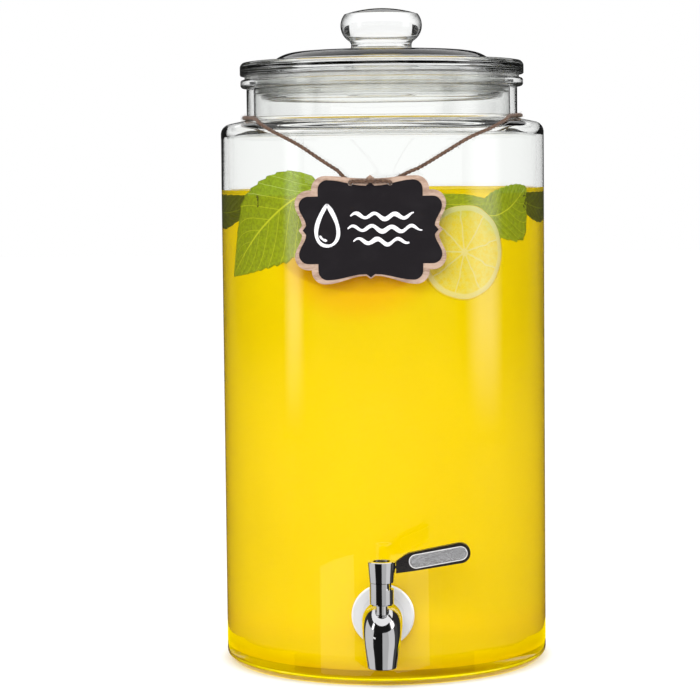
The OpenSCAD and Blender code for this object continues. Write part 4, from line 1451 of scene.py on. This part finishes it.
@dataclass
class Contents:
    """What floats in the drink: a lemon, a slice and mint leaves."""

    leaves: tuple[Leaf, ...] = (
        Leaf(
            "mint_leaf_left", Green.FRESH,
            left=clinging(
                (-24, 279), (-31, 281.5), (-38, 280.8), (-47, 276),
                (-57.5, 266), (-61, 253), (-63.5, 238), (-65.8, 223),
            ),
            rib=clinging((-21, 274), (-28, 269), (-36, 262), (-44, 253), (-51, 244), (-58, 234), (-65.6, 222.8)),
            right=clinging(
                (-20, 262), (-22, 250), (-27, 240.5), (-33, 233),
                (-40, 229.5), (-50, 226), (-57, 224), (-65.6, 222.4),
            ),
        ),
        Leaf(
            "mint_leaf_right", Green.FRESH,
            left=clinging((38, 264), (42, 268.5), (47, 271), (52, 272.6), (57, 273), (61.5, 272)),
            rib=clinging((38.5, 257), (44, 256), (50, 259), (55, 263.5), (59, 268), (62.2, 271.5)),
            right=clinging((39, 250), (44, 245), (50, 242.5), (57, 241.5), (62, 246), (62.8, 270)),
            teeth=9,
        ),
        Leaf(
            "mint_leaf_floating", Green.FRESH,
            left=clinging((12, 268.3), (18, 268.6), (26, 268.4), (33, 267.6), (42, 264.5)),
            rib=clinging((12, 264), (18, 263), (26, 262.6), (33, 262.6), (42, 262)),
            right=clinging((12, 259), (18, 257), (26, 255.6), (33, 257), (42, 259.6)),
            teeth=8,
        ),
        # these three leaves wear the darker copy of the green, which is painted shade; the two far ones make a
        # dark band just under the surface at the jar's sides
        Leaf(
            "mint_leaf_far_left", Green.DEEP,
            left=clinging((-97, 268.4), (-86, 268.4), (-74, 268.3), (-61, 268.3), (-48, 268.2)),
            rib=clinging((-97, 261), (-86, 259), (-74, 258), (-61, 260), (-48, 265)),
            right=clinging((-97, 254), (-86, 250), (-74, 249), (-61, 254), (-48, 262)),
            teeth=8,
        ),
        Leaf(
            "mint_leaf_far_right", Green.DEEP,
            left=clinging((60, 268.3), (66, 268.4), (76, 268.4), (87, 268.2), (97, 267)),
            rib=clinging((60, 264), (66, 261), (76, 259), (87, 260), (97, 263)),
            right=clinging((60, 259), (66, 254), (76, 251), (87, 254), (97, 260)),
            teeth=8,
        ),
        Leaf(
            "mint_leaf_behind", Green.DEEP,
            left=((150, 30, 267.8), (110, 30, 267.6), (60, 45, 267.6), (45, 62, 267.4)),
            rib=((160, 18, 265.5), (90, 16, 265), (30, 30, 265), (32, 52, 266)),
            right=((200, 28, 267), (-90, 24, 266.4), (-20, 30, 266.6), (15, 48, 266.8)),
            teeth=8,
        ),
    )


    def build(self) -> None:
        """Makes everything that floats in the drink."""
        LemonSlice().build()
        WholeLemon().build()
        skins = {tone: LeafSkin("leaf_" + tone.name.lower(), *tone.value).build() for tone in Green}
        for leaf in self.leaves:
            leaf.build(skins[leaf.tone])


# ------------------------------------------------------------------ tap and tag


@dataclass
class Spout:
    """The polished horn of the tap: level at the wall, bent down, narrowing to a rounded lip."""

    tap_z: float = 40.0
    plate_front: float = 95.5
    straight: float = 14.5
    bend_r: float = 12.0
    root_r: float = 11.6
    lip_out: float = 7.8
    bore: float = 6.0
    drop: float = 23.4
    taper_power: float = 2.25
    bore_depth: float = 16.4
    bore_end: float = 3.0
    around: int = 96

    def place(self, run: float) -> tuple[Vector, Vector]:
        """A point of the horn's middle line and its heading, at a distance from the plate."""
        if run <= self.straight:
            return Vector((0, -self.plate_front - run, self.tap_z)), Vector((0, -1, 0))
        turn = (run - self.straight) / self.bend_r
        start, down = self.plate_front + self.straight, self.tap_z - self.bend_r
        if turn < math.pi / 2:
            y, z = -start - self.bend_r * math.sin(turn), self.tap_z - self.bend_r * (1 - math.cos(turn))
            return Vector((0, y, z)), Vector((0, -math.cos(turn), -math.sin(turn)))
        left = run - self.straight - self.bend_r * math.pi / 2
        return Vector((0, -start - self.bend_r, down - left)), Vector((0, 0, -1))

    def build(self, steel: Material) -> None:
        """Makes the spout."""
        length = self.straight + self.bend_r * math.pi / 2 + self.drop - self.bend_r
        taper = self.root_r - self.lip_out
        lip = (self.lip_out - self.bore) / 2
        rings = [(0.0, self.root_r - 0.5), (0.12, self.root_r - 0.12), (0.5, self.root_r)]
        steps = 96
        for i in range(1, steps + 1):
            d = 0.5 + (length - lip - 0.5) * i / steps
            rings.append((d, self.root_r - taper * (d / length) ** self.taper_power))
        middle = (rings[-1][1] + self.bore) / 2
        half = rings[-1][1] - middle
        edge = length - lip
        turns = [math.pi * i / 14 for i in range(1, 14)]
        rings += [(edge + lip * math.sin(a), middle + half * math.cos(a)) for a in turns]
        rings += [(edge - self.bore_depth * i / 8, self.bore) for i in range(9)]
        rings += [(edge - self.bore_depth, self.bore_end)]
        verts, n = [], self.around
        for d, r in rings:
            centre, heading = self.place(d)
            other = heading.cross(X_AXIS)
            for k in range(n):
                a = TAU * k / n
                verts.append(MM * (centre + r * (math.cos(a) * X_AXIS + math.sin(a) * other)))
        faces = ring_faces(len(rings), n)
        faces += [tuple(range(n)), tuple((len(rings) - 1) * n + k for k in range(n))]
        spout = outward(mesh_object("spout_horn", verts, faces))
        stand_for(spout, Body.JAR, "polished_steel", steel, "spout")


@dataclass
class TagDrawing:
    """A plain chalk drawing on the tag: a drop, and three waves beside it."""

    front: float = -98.1
    lift: float = 0.12
    drop_at: Point = (-28.0, 252.5)
    drop_size: float = 9.0
    waves: tuple[Triple, ...] = ((-15.5, 257.2, 34.0), (-17.0, 250.4, 40.0), (-14.0, 243.6, 30.0))
    wave_rise: float = 1.35
    wave_run: float = 10.5
    points: int = 61

    def stroke(self, line: Sequence[Point], widths: Sequence[float]) -> tuple[list[Vector], list[Face]]:
        """A flat closed ribbon along a line on the face.

        Args:
            line: Its points as X and Z, in millimetres.
            widths: Its half width at each point.

        Returns:
            The ribbon's points and faces.
        """
        verts, faces = [], []
        for i, (x, z) in enumerate(line):
            a, b = line[max(i - 1, 0)], line[min(i + 1, len(line) - 1)]
            d = Vector((b[0] - a[0], b[1] - a[1])).normalized()
            for side in (1, -1):
                px, pz = x - side * d.y * widths[i], z + side * d.x * widths[i]
                verts += [MM * Vector((px, self.front + 0.02, pz)), MM * Vector((px, self.front - self.lift, pz))]
        for i in range(len(line) - 1):
            a, b = 4 * i, 4 * i + 4
            faces += [(a, a + 2, b + 2, b), (a + 1, b + 1, b + 3, a + 3)]
            faces += [(a, b, b + 1, a + 1), (a + 2, a + 3, b + 3, b + 2)]
        last = 4 * len(line) - 4
        faces += [(0, 1, 3, 2), (last, last + 2, last + 3, last + 1)]
        return verts, faces

    def drop_line(self) -> list[Point]:
        """The drop's outline, as one closed hand-drawn line from its point and back."""
        x, z = self.drop_at
        out = []
        for i in range(self.points):
            t = math.radians(90 + 6 * i)
            wide = math.cos(t) * (1 - 0.5 * (1 + math.sin(t))) ** 0.55 * 1.02
            out.append((x + self.drop_size * wide * 0.86, z + self.drop_size * 1.25 * math.sin(t)))
        return out

    def build(self) -> None:
        """Makes the chalk strokes as one piece."""
        lines = [(self.drop_line(), 0.95)]
        x, z = self.drop_at
        turns = [math.radians(200 + 70 * i / 10) for i in range(11)]
        lines.append(([(x + 4.2 * math.cos(a), z - 4.2 + 4.2 * math.sin(a)) for a in turns], 0.6))
        last = self.points - 1
        for start, height, run in self.waves:
            line = []
            for i in range(self.points):
                wave = self.wave_rise * math.sin(i / last * run / self.wave_run * TAU)
                line.append((start + run * i / last, height + wave + 0.4 * math.sin(i * 0.13)))
            lines.append((line, 1.0))
        verts: list[Vector] = []
        faces: list[Face] = []
        for order, (line, half) in enumerate(lines):
            widths = []
            for i in range(len(line)):
                t = i / (len(line) - 1)
                ends = min(1.0, 5.5 * min(t, 1 - t) + 0.35)
                uneven = 1 + 0.18 * math.sin(9.1 * t + order) + 0.1 * math.sin(31 * t + 2 * order)
                widths.append(half * ends * uneven)
            more, quads = self.stroke(line, widths)
            faces += [tuple(len(verts) + k for k in quad) for quad in quads]
            verts += more
        piece = outward(mesh_object("chalk_drawing", verts, faces, smooth=False))
        stand_for(piece, Body.TAG, "chalk_face", Chalk().build())


@dataclass
class SolidParts:
    """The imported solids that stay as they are, each with its own finish."""

    def build(self, steel: Material) -> None:
        """Dresses every solid that isn't replaced."""
        turned = Metal("turned_steel", (0.56, 0.56, 0.57), 0.28, 0.00001, (1, 8, 1)).build()
        plate = Metal("plate_steel", (0.93, 0.93, 0.94), 0.36, 0.0000003, metallic=0.4).build()
        dark_pin = Metal("blackened_steel", (0.05, 0.05, 0.055), 0.4, 0.00001).build()
        brass = Metal("turned_brass", (0.74, 0.52, 0.2), 0.25, 0.00001).build()
        rubber = Moulded("black_rubber", (0.02, 0.02, 0.02), 0.6).build()
        gasket = Moulded("dark_silicone", (0.06, 0.06, 0.065), 0.45).build()
        seat = Moulded("white_seat_plastic", (0.82, 0.82, 0.8), 0.4).build()
        silicone = Moulded("clear_silicone", (0.97, 0.97, 0.96), 0.16, 0.000004, 0.96).build()
        grip = Moulded("satin_black_grip", (0.016, 0.014, 0.014), 0.3, 0.00001).build()
        finishes = {
            "tap_shank": turned, "washer": turned, "lock_nut": turned, "valve_ball": turned,
            "valve_stem": turned, "stop_pin": dark_pin, "lever_screw": turned, "bonnet": steel,
            "lever": steel, "wall_plate": plate, "gland_ring": brass, "inlet_seat": seat,
            "outlet_seat": seat, "stem_orings": rubber, "outer_gasket": gasket,
            "inner_gasket": silicone, "lid_seal": silicone, "lever_grip": grip,
            "grip_pads": SpeckledPad().build(), "tag_board": BareWood().build(),
            "tag_face": ChalkFace().build(),
        }
        for node, material in finishes.items():
            dress(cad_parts[node], material)
            log.info("dressed %s", node)


def main() -> None:
    """Builds the whole scene in order."""
    logging.basicConfig(level=logging.INFO, format="%(name)s: %(message)s")
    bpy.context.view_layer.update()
    Viewpoint().build()
    Twine().build()
    Studio().build()
    Jar().build()
    Lid().build()
    Drink().build()
    Contents().build()
    steel = Metal("polished_steel", (0.8, 0.8, 0.81), 0.045, 0.000001).build()
    Spout().build(steel)
    TagDrawing().build()
    SolidParts().build(steel)


if __name__ == "__main__":
    main()
